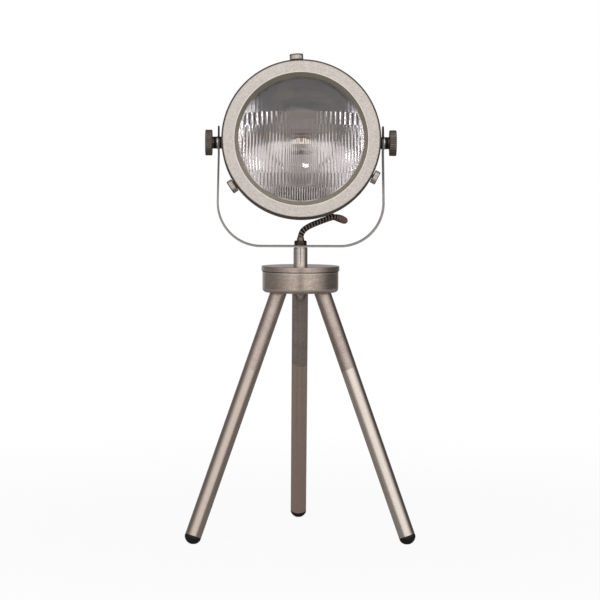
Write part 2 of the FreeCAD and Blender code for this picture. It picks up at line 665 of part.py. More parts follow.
def bezel_ring():
    wall = RING_RADIUS - RING_WALL
    lip = RING_OPENING + RING_LIP_WALL
    flange_back = RING_FACE - RING_FLANGE
    shape = turned(
        (RING_OPENING, RING_FACE, RING_INNER_EDGE), (RING_RADIUS, RING_FACE, RING_EDGE),
        (RING_RADIUS, RING_BACK, RING_BACK_EDGE), (wall, RING_BACK), (wall, flange_back),
        (lip, flange_back), (lip, GASKET_FRONT), (RING_THROAT, GASKET_FRONT),
    )
    return shape.cut(thumb_holes(THUMB_SCREW_RADIUS + RUNNING_FIT))


def thumbscrew(name):
    foot_radius = RING_RADIUS + THUMB_GAPS[name]
    head = fluted(THUMB_RADIUS, THUMB_FLUTE_DEPTH, THUMB_FLUTES, foot_radius, THUMB_LENGTH, THUMB_EDGE)
    screw = rod(THUMB_SCREW_RADIUS, foot_radius - THUMB_SCREW_LENGTH, THUMB_SCREW_LENGTH)
    return placed(head.fuse(screw), thumb_frame(THUMB_ANGLES[name]))


def flutes(left, right, low, high, pitch, depth):
    """What one row of upright flutes takes from the back of the glass.

    The section is a line of shallow arcs side by side. It is swept up the dome about the
    level line through the dome's centre, from one height to another.
    """
    inside = LENS_OUTER - LENS_GLASS
    count = round((right - left) / pitch)
    step = (right - left) / count

    def on_back(x, rise):
        return V(x, 0, LENS_CENTRE + math.sqrt(inside ** 2 - x ** 2) + rise)

    edges = []
    for number in range(count):
        start = left + number * step
        ridge, next_ridge = on_back(start, FLUTE_RIDGE), on_back(start + step, FLUTE_RIDGE)
        edges.append(Part.Arc(ridge, on_back(start + step / 2, depth), next_ridge).toShape())
    first, last = on_back(left, FLUTE_RIDGE), on_back(right, FLUTE_RIDGE)
    back_first, back_last = on_back(left, -LENS_GLASS), on_back(right, -LENS_GLASS)
    for start, end in ((last, back_last), (back_last, back_first), (back_first, first)):
        edges.append(Part.LineSegment(start, end).toShape())
    section = Part.Face(Part.Wire(edges))
    centre = V(0, 0, LENS_CENTRE)
    foot, top = (math.degrees(math.asin(height / inside)) for height in (low, high))
    section.rotate(centre, -X, foot)
    return section.revolve(centre, -X, top - foot)


def lens():
    centre = V(0, 0, LENS_CENTRE)
    outside = Part.makeSphere(LENS_OUTER, centre)
    inside = Part.makeSphere(LENS_OUTER - LENS_GLASS, centre)
    dome = outside.cut(inside).common(rod(LENS_OPEN_RADIUS, LENS_BACK, LENS_FLANGE + 2 * LENS_CROWN))
    flange = ring(LENS_FLANGE_RADIUS, LENS_OPEN_RADIUS - LENS_GLASS, LENS_BACK, LENS_FLANGE)
    glass = dome.fuse(flange.cut(inside)).removeSplitter()
    fluted = rod(FLUTED_RADIUS, LENS_BACK - LENS_GLASS, LENS_CROWN + 2 * LENS_GLASS)
    for near, far, *row in LENS_ROWS.values():
        spans = ((-far, -near), (near, far)) if near else ((-far, far),)
        for left, right in spans:
            glass = glass.cut(flutes(left, right, *row).common(fluted))
    return glass


def lens_gasket():
    return ring(LENS_FLANGE_RADIUS, RING_THROAT + BODY_GAP, LENS_FRONT, GASKET)


def paraboloid(focal, apex, mouth, wall):
    """A dish about Z, open towards +Z, as a thin shell between two like parabolas."""
    def curve(start, end, drop):
        steps = 6
        radii = [start + (end - start) * k / steps for k in range(steps + 1)]
        spline = Part.BSplineCurve()
        spline.interpolate([V(r, 0, apex - drop + r * r / (4 * focal)) for r in radii])
        return spline.toShape()

    inner = curve(REFLECTOR_HOLE, mouth, 0)
    outer = curve(mouth, REFLECTOR_HOLE, wall)
    rim = Part.LineSegment(inner.valueAt(inner.LastParameter), outer.valueAt(outer.FirstParameter))
    hole = Part.LineSegment(outer.valueAt(outer.LastParameter), inner.valueAt(inner.FirstParameter))
    return Part.Face(Part.Wire([inner, rim.toShape(), outer, hole.toShape()])).revolve(V(), Z, 360)


def reflector():
    focal = REFLECTOR_MOUTH ** 2 / (4 * REFLECTOR_DEPTH)
    apex = LENS_BACK - REFLECTOR_DEPTH
    dish = paraboloid(focal, apex, REFLECTOR_MOUTH, REFLECTOR_WALL)
    flange = ring(LENS_FLANGE_RADIUS, REFLECTOR_MOUTH - REFLECTOR_WALL / 2, SEAT_FRONT, REFLECTOR_FLANGE)
    return dish.fuse(flange)


def shell_section(inset):
    """The outside of the shell, or a line that lies inset from it, from the collar's front to the axis."""
    turn = math.radians(SHOULDER_TURN)
    slope = COLLAR_STEP / math.hypot(COLLAR_STEP, COLLAR_OUTER - SHELL_RADIUS)
    shift = inset * math.tan(math.acos(slope) / 2)
    radius = SHOULDER_RADIUS - inset
    centre = SHELL_RADIUS - SHOULDER_RADIUS
    dome = DOME_RADIUS - inset

    def on_shoulder(angle):
        return V(centre + radius * math.cos(angle), 0, -SHELL_DRUM_BACK - radius * math.sin(angle))

    def on_dome(angle):
        return V(dome * math.sin(angle), 0, -DOME_CENTRE - dome * math.cos(angle))

    front = V(COLLAR_OUTER - inset, 0, LENS_FRONT)
    step_top = V(COLLAR_OUTER - inset, 0, COLLAR_BACK + shift)
    step_low = V(SHELL_RADIUS - inset, 0, COLLAR_BACK - COLLAR_STEP + shift)
    joint = math.pi / 2 - turn
    return front, [
        Part.LineSegment(front, step_top).toShape(),
        Part.LineSegment(step_top, step_low).toShape(),
        Part.LineSegment(step_low, on_shoulder(0)).toShape(),
        Part.Arc(on_shoulder(0), on_shoulder(turn / 2), on_shoulder(turn)).toShape(),
        Part.Arc(on_dome(joint), on_dome(joint / 2), on_dome(0)).toShape(),
    ]


def drilled(radius, frame):
    """A hole through the shell for something of that radius."""
    reach = 4 * SHELL_WALL
    return placed(rod(radius + ASSEMBLY_GAP, -reach, 2 * reach), frame)


def head_shell():
    front, outside = shell_section(0)
    inner_front, inside = shell_section(SHELL_WALL)
    back = V(0, 0, -SHELL_BACK)
    inner_back = V(0, 0, -SHELL_BACK + SHELL_WALL)
    caps = [Part.LineSegment(front, inner_front).toShape(), Part.LineSegment(back, inner_back).toShape()]
    wire = Part.Wire(Part.__sortEdges__(outside + inside + caps))
    shape = Part.Face(wire).revolve(V(), Z, 360)
    wall = COLLAR_OUTER - SHELL_WALL / 2
    shape = shape.fuse(ring(wall, wall - SEAT_WIDTH, SEAT_FRONT - SEAT, SEAT))
    span = 2 * SHELL_RADIUS
    shape = shape.cut(Part.makeCylinder(SPIGOT_RADIUS + ASSEMBLY_GAP, 2 * span, V(-span, 0, 0), X))
    shape = shape.cut(thumb_holes(THUMB_SCREW_RADIUS + RUNNING_FIT))
    shape = shape.cut(drilled(REAR_GLAND_THREAD, rear_gland_frame()))
    for side in (-1, 1):
        shape = shape.cut(drilled(RIVET_RADIUS, rivet_frame(side)))
    return shape


def drum():
    """The drum's outside, to cut what sits against it."""
    return rod(SHELL_RADIUS, -SHELL_DRUM_BACK, SHELL_DRUM_BACK + COLLAR_BACK)


def pivot_boss(side):
    root = SHELL_RADIUS - SHELL_WALL
    boss = placed(rod(BOSS_RADIUS, root, STRAP_INNER - root), aimed(V(), X * side)).cut(drum())
    inner = SHELL_RADIUS - SHELL_WALL - SPIGOT_REACH
    spigot = placed(rod(SPIGOT_RADIUS, inner, STRAP_INNER - 1 - inner), aimed(V(), X * side))
    bore = placed(rod(TILT_SCREW_RADIUS + RUNNING_FIT, 0, 2 * SHELL_RADIUS), aimed(V(), X * side))
    return boss.fuse(spigot).cut(bore).removeSplitter()


def inside_flat(radius, flats):
    """How far out a hexagon nut goes inside a round wall of that radius."""
    return math.sqrt(radius ** 2 - flats ** 2 / 3) - RUNNING_FIT / 4


def pivot_nuts():
    seat = inside_flat(SHELL_RADIUS - SHELL_WALL, PIVOT_NUT_FLATS)
    hole = SPIGOT_RADIUS + RUNNING_FIT
    nut = hexagon(PIVOT_NUT_FLATS, seat - PIVOT_NUT_HEIGHT, PIVOT_NUT_HEIGHT, hole=hole)
    return Part.makeCompound([placed(nut, aimed(V(), X * side)) for side in (-1, 1)])


def bezel_nuts():
    seat = inside_flat(COLLAR_OUTER - SHELL_WALL, THUMB_NUT_FLATS)
    nut = hexagon(
        THUMB_NUT_FLATS, seat - THUMB_NUT_HEIGHT, THUMB_NUT_HEIGHT, hole=THUMB_SCREW_RADIUS + RUNNING_FIT
    )
    return Part.makeCompound([placed(nut, thumb_frame(angle)) for angle in THUMB_ANGLES.values()])


def lamp_holder():
    back = HOLDER_FRONT - HOLDER_LENGTH
    body = turned(
        (0, back), (HOLDER_RADIUS, back, 1.0), (HOLDER_RADIUS, HOLDER_FRONT, 1.5), (0, HOLDER_FRONT)
    )
    socket = rod(BULB_RADIUS + BULB_PIN_GAP, HOLDER_FRONT - 8, 9)
    return body.cut(socket)


def bulb():
    foot_place = HOLDER_FRONT - 8
    tip = foot_place + BULB_LENGTH
    return turned(
        (0, foot_place), (BULB_RADIUS, foot_place, 0.8), (BULB_RADIUS, tip, BULB_RADIUS - 0.5), (0, tip)
    )


def dome_frame(x, y):
    """On the outside of the shell's back, x and y off the head's axis, with Z square to it."""
    outward = V(x, y, -math.sqrt(DOME_RADIUS ** 2 - x * x - y * y))
    return aimed(V(0, 0, -DOME_CENTRE) + outward, outward)


def rivet_frame(side):
    return dome_frame(side * (BRACKET_HALF_SPAN + BRACKET_FOOT / 2), 0)


def rear_gland_frame():
    return dome_frame(0, -REAR_GLAND_DROP)


def holder_bracket():
    top = HOLDER_FRONT - HOLDER_LENGTH - BRACKET_SHEET / 2
    # Each foot lies square to the dome at its rivet and touches it with its corners.
    seat = rivet_frame(1)
    corner = math.hypot(BRACKET_FOOT, BRACKET_WIDTH) / 2
    depth = math.sqrt((DOME_RADIUS - SHELL_WALL) ** 2 - corner ** 2) - BRACKET_SHEET / 2
    outward = seat.Rotation.multVec(Z)
    along = V(-outward.z, 0, outward.x)
    middle = V(0, 0, -DOME_CENTRE) + outward * depth
    heel = middle - along * ((middle.x - BRACKET_HALF_SPAN) / along.x)
    right = [V(BRACKET_HALF_SPAN, 0, top), heel, middle + along * (BRACKET_FOOT / 2)]
    left = [V(-p.x, 0, p.z) for p in reversed(right)]
    bar = strip(left + right, [BRACKET_BEND] * 4, BRACKET_SHEET, BRACKET_WIDTH)
    for side in (-1, 1):
        bar = bar.cut(drilled(RIVET_RADIUS, rivet_frame(side)))
    return bar.cut(rod(CORD_RADIUS + ASSEMBLY_GAP, top - BRACKET_SHEET, 2 * BRACKET_SHEET))


def bracket_rivets():
    grip = SHELL_WALL + BRACKET_SHEET + 2 * RIVET_SEAT_GAP
    bulge = RIVET_HEAD_RADIUS - 0.8
    rivet = turned(
        (0, -grip - RIVET_HEAD_HEIGHT), (bulge, -grip - RIVET_HEAD_HEIGHT, 0.8), (RIVET_HEAD_RADIUS, -grip),
        (RIVET_RADIUS, -grip), (RIVET_RADIUS, 0), (RIVET_HEAD_RADIUS, 0), (bulge, RIVET_HEAD_HEIGHT, 0.8),
        (0, RIVET_HEAD_HEIGHT),
    )
    return Part.makeCompound([placed(rivet, rivet_frame(side)) for side in (-1, 1)])


def rear_gland():
    flange = hexagon(REAR_GLAND_FLATS, 0, REAR_GLAND_HEX, chamfer=1.2)
    root = REAR_GLAND_HEX / 2
    shoulder = (REAR_GLAND_HEX + REAR_GLAND_LENGTH) / 2
    nose = turned(
        (0, root), (REAR_GLAND_NOSE, root), (REAR_GLAND_NOSE, shoulder, 2.0),
        (REAR_GLAND_MOUTH, REAR_GLAND_LENGTH, 1.0), (0, REAR_GLAND_LENGTH),
    )
    inner_end = SHELL_WALL + REAR_GLAND_NUT + REAR_GLAND_SPARE
    thread = rod(REAR_GLAND_THREAD, -inner_end, inner_end + REAR_GLAND_HEX / 2)
    bore = rod(CORD_RADIUS + ASSEMBLY_GAP, -inner_end, inner_end + REAR_GLAND_LENGTH)
    return placed(flange.fuse(nose).fuse(thread).cut(bore), rear_gland_frame())


def rear_gland_nut():
    seat = -SHELL_WALL - 2 * ASSEMBLY_GAP
    hole = REAR_GLAND_THREAD + RUNNING_FIT
    nut = hexagon(REAR_GLAND_FLATS, seat - REAR_GLAND_NUT, REAR_GLAND_NUT, hole=hole)
    return placed(nut, rear_gland_frame())


def rear_gland_mouth():
    """Where the cord enters the rear gland, from the stem's axis."""
    mouth = ON_HEAD.multVec(rear_gland_frame().multVec(V(0, 0, REAR_GLAND_LENGTH)))
    return mouth - V(0, STEM_Y, 0)


def head_lead():
    frame = rear_gland_frame()
    outside = frame.multVec(V(0, 0, REAR_GLAND_LENGTH + CORD_RADIUS))
    low_turn = frame.multVec(V(0, 0, -LEAD_LOW_TURN))
    holder_back = HOLDER_FRONT - HOLDER_LENGTH
    path = [outside, low_turn, V(0, 0, holder_back - LEAD_HIGH_TURN), V(0, 0, holder_back)]
    lead = tube(path, CORD_RADIUS, [LEAD_LOW_BEND, LEAD_HIGH_BEND])
    last_run = ON_HEAD.inverse().Rotation.multVec(CORD_POINTS[-1] - rear_gland_mouth())
    return lead.cut(beyond(frame.multVec(V(0, 0, REAR_GLAND_LENGTH)), last_run))


# ---------------------------------------------------------------- cord
def link_cord():
    return tube([V(0, 0, CORD_EXIT)] + CORD_POINTS + [rear_gland_mouth()], CORD_RADIUS)


# ---------------------------------------------------------------- files
os.makedirs("parts", exist_ok=True)

save("hub_body", hub_body())
save("hub_lid", hub_lid())
for name, azimuth in LEG_AZIMUTHS.items():
    save(f"leg_{name}", leg(azimuth))
    save(f"foot_{name}", foot(azimuth))
save("leg_plugs", leg_plugs())
save("leg_washers", leg_washers())
save("leg_bolts", leg_bolts())
save("inlet_grommet", inlet_grommet())
save("threaded_rod", threaded_rod())
save("cap_nut", cap_nut())
save("floor_nut", floor_nut())
save("lid_washer", lid_washer())
save("lid_nut", lid_nut())
save("stem_tube", stem_tube())
save("stem_washer", stem_washer())
save("gland_nut", gland_nut())
save("cord_bush", cord_bush())
save("stem_lead", stem_lead())
save("terminal_block", terminal_block())
save("supply_cores", supply_cores())

save("yoke_strap", yoke_strap())
save("tilt_washers", tilt_washers())
save("knob_left", tilt_knob(-1))
save("knob_right", tilt_knob(1))

save("bezel_ring", bezel_ring(), ON_HEAD)
save("lens_gasket", lens_gasket(), ON_HEAD)
save("lens", lens(), ON_HEAD)
save("reflector", reflector(), ON_HEAD)
save("head_shell", head_shell(), ON_HEAD)
save("pivot_boss_left", pivot_boss(-1), ON_HEAD)
save("pivot_boss_right", pivot_boss(1), ON_HEAD)
save("pivot_nuts", pivot_nuts(), ON_HEAD)
save("bezel_nuts", bezel_nuts(), ON_HEAD)
save("lamp_holder", lamp_holder(), ON_HEAD)
save("bulb", bulb(), ON_HEAD)
save("holder_bracket", holder_bracket(), ON_HEAD)
save("bracket_rivets", bracket_rivets(), ON_HEAD)
save("rear_gland", rear_gland(), ON_HEAD)
save("rear_gland_nut", rear_gland_nut(), ON_HEAD)
save("head_lead", head_lead(), ON_HEAD)
for name in THUMB_ANGLES:
    save(f"thumbscrew_{name}", thumbscrew(name), ON_HEAD)
save("link_cord", link_cord())
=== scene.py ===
import logging
import math
from dataclasses import dataclass
from enum import Enum

import bmesh
import bpy
from mathutils import Matrix, Vector


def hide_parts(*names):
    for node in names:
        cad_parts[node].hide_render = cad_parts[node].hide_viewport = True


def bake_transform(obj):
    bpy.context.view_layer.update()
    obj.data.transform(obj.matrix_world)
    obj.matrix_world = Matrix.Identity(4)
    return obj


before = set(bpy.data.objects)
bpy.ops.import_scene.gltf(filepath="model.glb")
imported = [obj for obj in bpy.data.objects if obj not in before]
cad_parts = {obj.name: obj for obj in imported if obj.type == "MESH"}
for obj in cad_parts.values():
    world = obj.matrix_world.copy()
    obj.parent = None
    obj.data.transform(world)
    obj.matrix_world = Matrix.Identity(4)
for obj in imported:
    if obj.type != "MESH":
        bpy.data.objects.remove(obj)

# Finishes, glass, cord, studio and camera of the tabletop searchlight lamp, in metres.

LOG = logging.getLogger("lamp")

Colour = tuple[float, float, float]
Point = tuple[float, float, float]
Span = tuple[float, float]       # where something begins and ends
Size = tuple[float, float]       # a width and a height

STEM_Y = -0.0377959         # the stem's axis
PIVOT_HEIGHT = 0.4904973    # the head's pivots
REST_TILT = math.radians(6.0)
HUB_UNDERSIDE = 0.3048
LEG_TOP_RADIUS = 0.0315     # of the legs' axes, at the hub's underside
LEG_SPLAY = math.radians(22.1)
LEG_BORDER = -0.1025        # where the legs' finish changes, along the tube
BEYOND = 1.0                # farther off than any piece ends

# Where a colour changes within a piece: heights over the table for the hub and the strap,
# reach from the head's axis for the ring, the shell and the thumbscrews, and distance from
# the lamp's middle for the knobs. All but the knobs' black collar are painted shade or painted
# highlights: dark lines and bands where shade falls, light lines where edges catch the light.
HUB_SEAM = (0.3302, 0.3330)
HUB_SHOULDER = (0.3289, 0.3302)
HUB_LOW_LINE = (0.3082, 0.3097)
RING_EDGE = (0.0960, 0.0978)
RING_WALL = (0.0978, BEYOND)
RING_THROAT = (0.0, 0.0821)
RING_LIP = (0.0821, 0.0830)
SHELL_POLE = (0.0, 0.0070)
STRAP_ARMS = (0.4380, BEYOND)
STRAP_TIPS = (0.4955, BEYOND)
THUMB_INNER_END = (0.0, 0.0997)
THUMB_OUTER_END = (0.1045, BEYOND)
KNOB_INNER_SIDE = (0.0, 0.1085)

WHITE = (1.0, 1.0, 1.0)
BLACK = (0.0, 0.0, 0.0)
NOISE_MEAN = 0.5


def tone(red: float, green: float, blue: float) -> Colour:
    """A display colour, 0 to 255, as the linear colour that a shader takes, by the sRGB curve.

    Args:
        red: Red as shown.
        green: Green as shown.
        blue: Blue as shown.

    Returns:
        The three linear parts.
    """
    parts = (red / 255, green / 255, blue / 255)
    linear = [part / 12.92 if part <= 0.04045 else ((part + 0.055) / 1.055) ** 2.4 for part in parts]
    return linear[0], linear[1], linear[2]


# ---------------------------------------------------------------- shader maths
class Value:
    """A number that varies over a surface. Sums with it add Math nodes."""

    def __init__(self, graph: "Graph", socket: bpy.types.NodeSocket) -> None:
        """Wraps a socket of a graph."""
        self.graph = graph
        self.socket = socket

    def maths(self, operation: str, *terms: "Value | float") -> "Value":
        """Adds one Math node.

        Args:
            operation: The Math node's operation.
            terms: Its inputs, in order.

        Returns:
            The result.
        """
        node = self.graph.node("ShaderNodeMath", {"operation": operation}, dict(enumerate(terms)))
        return Value(self.graph, node.outputs[0])

    def __add__(self, other: "Value | float") -> "Value":
        """Self plus other."""
        return self.maths("ADD", self, other)

    __radd__ = __add__

    def __mul__(self, other: "Value | float") -> "Value":
        """Self times other."""
        return self.maths("MULTIPLY", self, other)

    __rmul__ = __mul__

    def __sub__(self, other: "Value | float") -> "Value":
        """Self less other."""
        return self.maths("SUBTRACT", self, other)

    def __rsub__(self, other: "Value | float") -> "Value":
        """Other less self."""
        return self.maths("SUBTRACT", other, self)

    def __truediv__(self, other: "Value | float") -> "Value":
        """Self over other."""
        return self.maths("DIVIDE", self, other)

    def __pow__(self, other: "Value | float") -> "Value":
        """Self to the power of other."""
        return self.maths("POWER", self, other)

    def __abs__(self) -> "Value":
        """Self without its sign."""
        return self.maths("ABSOLUTE", self)

    def step(self, low: float, high: float, start: float = 0.0, end: float = 1.0) -> "Value":
        """Rises smoothly from one number to another as self goes from low to high.

        Args:
            low: Where the rise begins.
            high: Where it ends.
            start: The number below low.
            end: The number above high.

        Returns:
            The risen value.
        """
        settings = {"interpolation_type": "SMOOTHSTEP"}
        inputs = {"Value": self, "From Min": low, "From Max": high, "To Min": start, "To Max": end}
        return Value(self.graph, self.graph.node("ShaderNodeMapRange", settings, inputs).outputs[0])

    def rise(self, span: Span) -> "Value":
        """Goes from 0 to 1 across a span."""
        return self.step(*span)

    def fall(self, span: Span) -> "Value":
        """Goes from 1 to 0 across a span."""
        return self.step(*span, 1.0, 0.0)

    def swing(self) -> "Value":
        """How far self is from the middle between two whole numbers, 0 to 0.5."""
        return abs(self.maths("FRACT", self) - 0.5)


def border(middle: float, soft: float) -> Span:
    """The span across a soft border.

    Args:
        middle: Where the border is.
        soft: How far it reaches to either side.

    Returns:
        The span.
    """
    return middle - soft, middle + soft


@dataclass(frozen=True)
class Axes:
    """A place and three directions that a pattern is laid out in."""

    origin: Point = (0.0, 0.0, 0.0)
    turn: Point = (0.0, 0.0, 0.0)       # Euler angles, radians

    def matrix(self) -> Matrix:
        """From these axes to the part's."""
        return Matrix.LocRotScale(Vector(self.origin), self.rotation(), None)

    def rotation(self) -> Matrix:
        """The three directions as a rotation."""
        return Matrix.Rotation(self.turn[2], 3, "Z") @ Matrix.Rotation(self.turn[1], 3, "Y") \
            @ Matrix.Rotation(self.turn[0], 3, "X")


STEM_AXES = Axes((0.0, STEM_Y, 0.0))
HEAD_AXES = Axes((0.0, STEM_Y, PIVOT_HEIGHT), (math.pi / 2 - REST_TILT, 0.0, 0.0))


class Graph:
    """The nodes of one material, or of the world."""

    def __init__(self, tree: bpy.types.NodeTree) -> None:
        """Starts with an empty tree."""
        self.tree = tree
        tree.nodes.clear()

    def node(self, kind: str, settings: dict | None = None, inputs: dict | None = None) -> bpy.types.Node:
        """Adds a node.

        Args:
            kind: The node's type.
            settings: Its properties, set first.
            inputs: A number, colour, Value or socket for each input by its name or place.

        Returns:
            The node.
        """
        node = self.tree.nodes.new(kind)
        for name, value in (settings or {}).items():
            setattr(node, name, value)
        for name, value in (inputs or {}).items():
            source = value.socket if isinstance(value, Value) else value
            if isinstance(source, bpy.types.NodeSocket):
                self.tree.links.new(source, node.inputs[name])
            else:
                node.inputs[name].default_value = source
        return node

    def place(self, axes: Axes) -> bpy.types.NodeSocket:
        """The shaded point in a pattern's own axes.

        Args:
            axes: The pattern's axes.

        Returns:
            The point's vector, in metres.
        """
        source = self.node("ShaderNodeTexCoord").outputs["Object"]
        inverse = axes.matrix().inverted()
        turned = self.node("ShaderNodeMapping", {"vector_type": "POINT"}, {
            "Vector": source, "Location": inverse.to_translation(), "Rotation": inverse.to_euler(),
        })
        return turned.outputs[0]

    def parts(self, vector: bpy.types.NodeSocket) -> tuple[Value, Value, Value]:
        """The three numbers of a vector."""
        node = self.node("ShaderNodeSeparateXYZ", None, {0: vector})
        return Value(self, node.outputs[0]), Value(self, node.outputs[1]), Value(self, node.outputs[2])

    def noise(self, vector: bpy.types.NodeSocket, stretch: Point,
              detail: float = 2.0, rough: float = 0.5) -> Value:
        """Noise from 0 to 1.

        Args:
            vector: Where.
            stretch: Its waves per metre along each axis.
            detail: How many finer layers it has.
            rough: How strong they are.

        Returns:
            The noise.
        """
        scaled = self.node("ShaderNodeVectorMath", {"operation": "MULTIPLY"}, {0: vector, 1: stretch})
        inputs = {"Vector": scaled.outputs[0], "Scale": 1.0, "Detail": detail, "Roughness": rough}
        return Value(self, self.node("ShaderNodeTexNoise", None, inputs).outputs["Fac"])

    def mix(self, low: object, high: object, factor: Value | float) -> bpy.types.NodeSocket:
        """A colour between two.

        Args:
            low: The colour, or its socket, at 0.
            high: The colour at 1.
            factor: How far from low to high.

        Returns:
            The mixed colour.
        """
        inputs = {0: factor, 6: opaque(low), 7: opaque(high)}
        return self.node("ShaderNodeMix", {"data_type": "RGBA"}, inputs).outputs[2]

    def bump(self, height: Value, depth: float) -> bpy.types.NodeSocket:
        """A normal that follows a height.

        Args:
            height: The height, 0 to 1.
            depth: What 1 stands for, in metres.

        Returns:
            The normal.
        """
        return self.node("ShaderNodeBump", None, {"Height": height, "Distance": depth}).outputs[0]

    def principled(self, inputs: dict) -> None:
        """Makes a Principled shader the material's surface.

        Args:
            inputs: Its sockets' values, by name.
        """
        self.output(self.node("ShaderNodeBsdfPrincipled", None, inputs))

    def output(self, shader: bpy.types.Node, kind: str = "ShaderNodeOutputMaterial") -> None:
        """Makes a shader the surface."""
        self.node(kind, None, {"Surface": shader.outputs[0]})


def opaque(colour: object) -> object:
    """A colour with an alpha of 1; a socket stays as it is."""
    return (*colour, 1.0) if isinstance(colour, tuple) else colour


def material(name: str) -> tuple[bpy.types.Material, Graph]:
    """A new material and its empty graph."""
    made = bpy.data.materials.new(name)
    made.use_nodes = True
    return made, Graph(made.node_tree)


# ---------------------------------------------------------------- finishes
class Measure(Enum):
    """What the limits of a zone are measured along, in a finish's own axes."""

    HEIGHT = "up the third axis"
    REACH = "away from the third axis"
    ASIDE = "along the first axis, either way"


@dataclass(frozen=True)
class Zone:
    """A stretch of a metal with a colour and gloss that differ from the rest; most zones' colours are painted
    shade or painted highlights.
    """

    measure: Measure
    span: Span
    colour: Colour
    rough: float
    soft: float             # how far its borders reach to either side
    waver: float = 0.0      # how far its borders stray
    waver_size: float = 90.0    # strays to a metre

    def mask(self, graph: Graph, place: bpy.types.NodeSocket) -> Value:
        """Rises from 0 to 1 inside the zone.

        Args:
            graph: The material's graph.
            place: The shaded point in the finish's axes.

        Returns:
            The mask.
        """
        x, y, z = graph.parts(place)
        if self.measure is Measure.HEIGHT:
            along = z
        elif self.measure is Measure.REACH:
            along = (x * x + y * y) ** 0.5
        else:
            along = abs(x)
        if self.waver:
            along = along + (graph.noise(place, (self.waver_size,) * 3) - NOISE_MEAN) * self.waver
        low, high = self.span
        return along.rise(border(low, self.soft)) * along.fall(border(high, self.soft))


@dataclass(frozen=True)
class BrushedMetal:
    """Bare metal with brush lines and fine speckle, and zones that differ from the rest."""

    name: str
    bright: Colour
    dull: Colour
    axes: Axes = STEM_AXES
    lines: Point = (60.0, 60.0, 900.0)      # brush lines to a metre along each axis
    line_share: float = 0.5
    speckle: float = 0.6
    speckle_size: float = 750.0
    cloud: float = 0.35
    cloud_size: Point = (45.0, 45.0, 110.0)
    depth: float = 0.00001
    rough: float = 0.36
    rough_spread: float = 0.1
    grain_height: float = 0.6       # of the grain, where the brush lines' is 1
    worn_tone: float = 0.8          # of a zone's colour, where it is worn
    zones: tuple[Zone, ...] = ()

    def build(self) -> bpy.types.Material:
        """The material."""
        made, graph = material(self.name)
        place = graph.place(self.axes)
        lines = graph.noise(place, self.lines, detail=3.0, rough=0.6)
        grain = graph.noise(place, (self.speckle_size,) * 3, detail=2.0, rough=0.7)
        cloud = graph.noise(place, self.cloud_size, detail=3.0, rough=0.55)
        worn = NOISE_MEAN
        for pattern, share in ((lines, self.line_share), (grain, self.speckle), (cloud, self.cloud)):
            worn = worn + (pattern - NOISE_MEAN) * share
        worn = worn.rise((0.0, 1.0))
        colour = graph.mix(self.bright, self.dull, worn)
        rough = self.rough + self.rough_spread * (grain + lines - 2 * NOISE_MEAN)
        for zone in self.zones:
            inside = zone.mask(graph, place)
            faded = tuple(part * self.worn_tone for part in zone.colour)
            colour = graph.mix(colour, graph.mix(zone.colour, faded, worn), inside)
            rough = rough + inside * (zone.rough - self.rough)
        graph.principled({
            "Base Color": colour, "Metallic": 1.0, "Roughness": rough,
            "Normal": graph.bump(lines + grain * self.grain_height, self.depth),
        })
        return made


@dataclass(frozen=True)
class PlainFinish:
    """A finish of one colour with a fine grain, for rubber, plastic, ceramic and plated steel."""

    name: str
    colour: Colour
    grain_colour: Colour
    rough: float
    metallic: float = 0.0
    grain: float = 1800.0
    grain_depth: float = 0.00002
    grain_share: float = 0.5            # beside the patches
    patch: float = 70.0
    tone_span: Span = (0.35, 0.65)      # of the noise, from one colour to the other
    rough_spread: float = 0.14

    def build(self) -> bpy.types.Material:
        """The material."""
        made, graph = material(self.name)
        place = graph.place(Axes())
        grain = graph.noise(place, (self.grain,) * 3, detail=3.0, rough=0.6)
        patch = graph.noise(place, (self.patch,) * 3, detail=3.0, rough=0.6)
        spotted = grain * self.grain_share + patch * (1 - self.grain_share)
        mean = NOISE_MEAN * (1 + self.grain_share)
        graph.principled({
            "Base Color": graph.mix(self.colour, self.grain_colour, spotted.rise(self.tone_span)),
            "Metallic": self.metallic,
            "Roughness": self.rough + self.rough_spread * (patch + grain * self.grain_share - mean),
            "Normal": graph.bump(grain, self.grain_depth),
        })
        return made


@dataclass(frozen=True)
class ClearGlass:
    """Clear glass."""

    name: str
    colour: Colour = (0.985, 0.975, 0.985)
    rough: float = 0.0
    refraction: float = 1.5

    def build(self) -> bpy.types.Material:
        """The material."""
        made, graph = material(self.name)
        graph.principled({
            "Base Color": opaque(self.colour), "Roughness": self.rough,
            "IOR": self.refraction, "Transmission Weight": 1.0,
        })
        return made


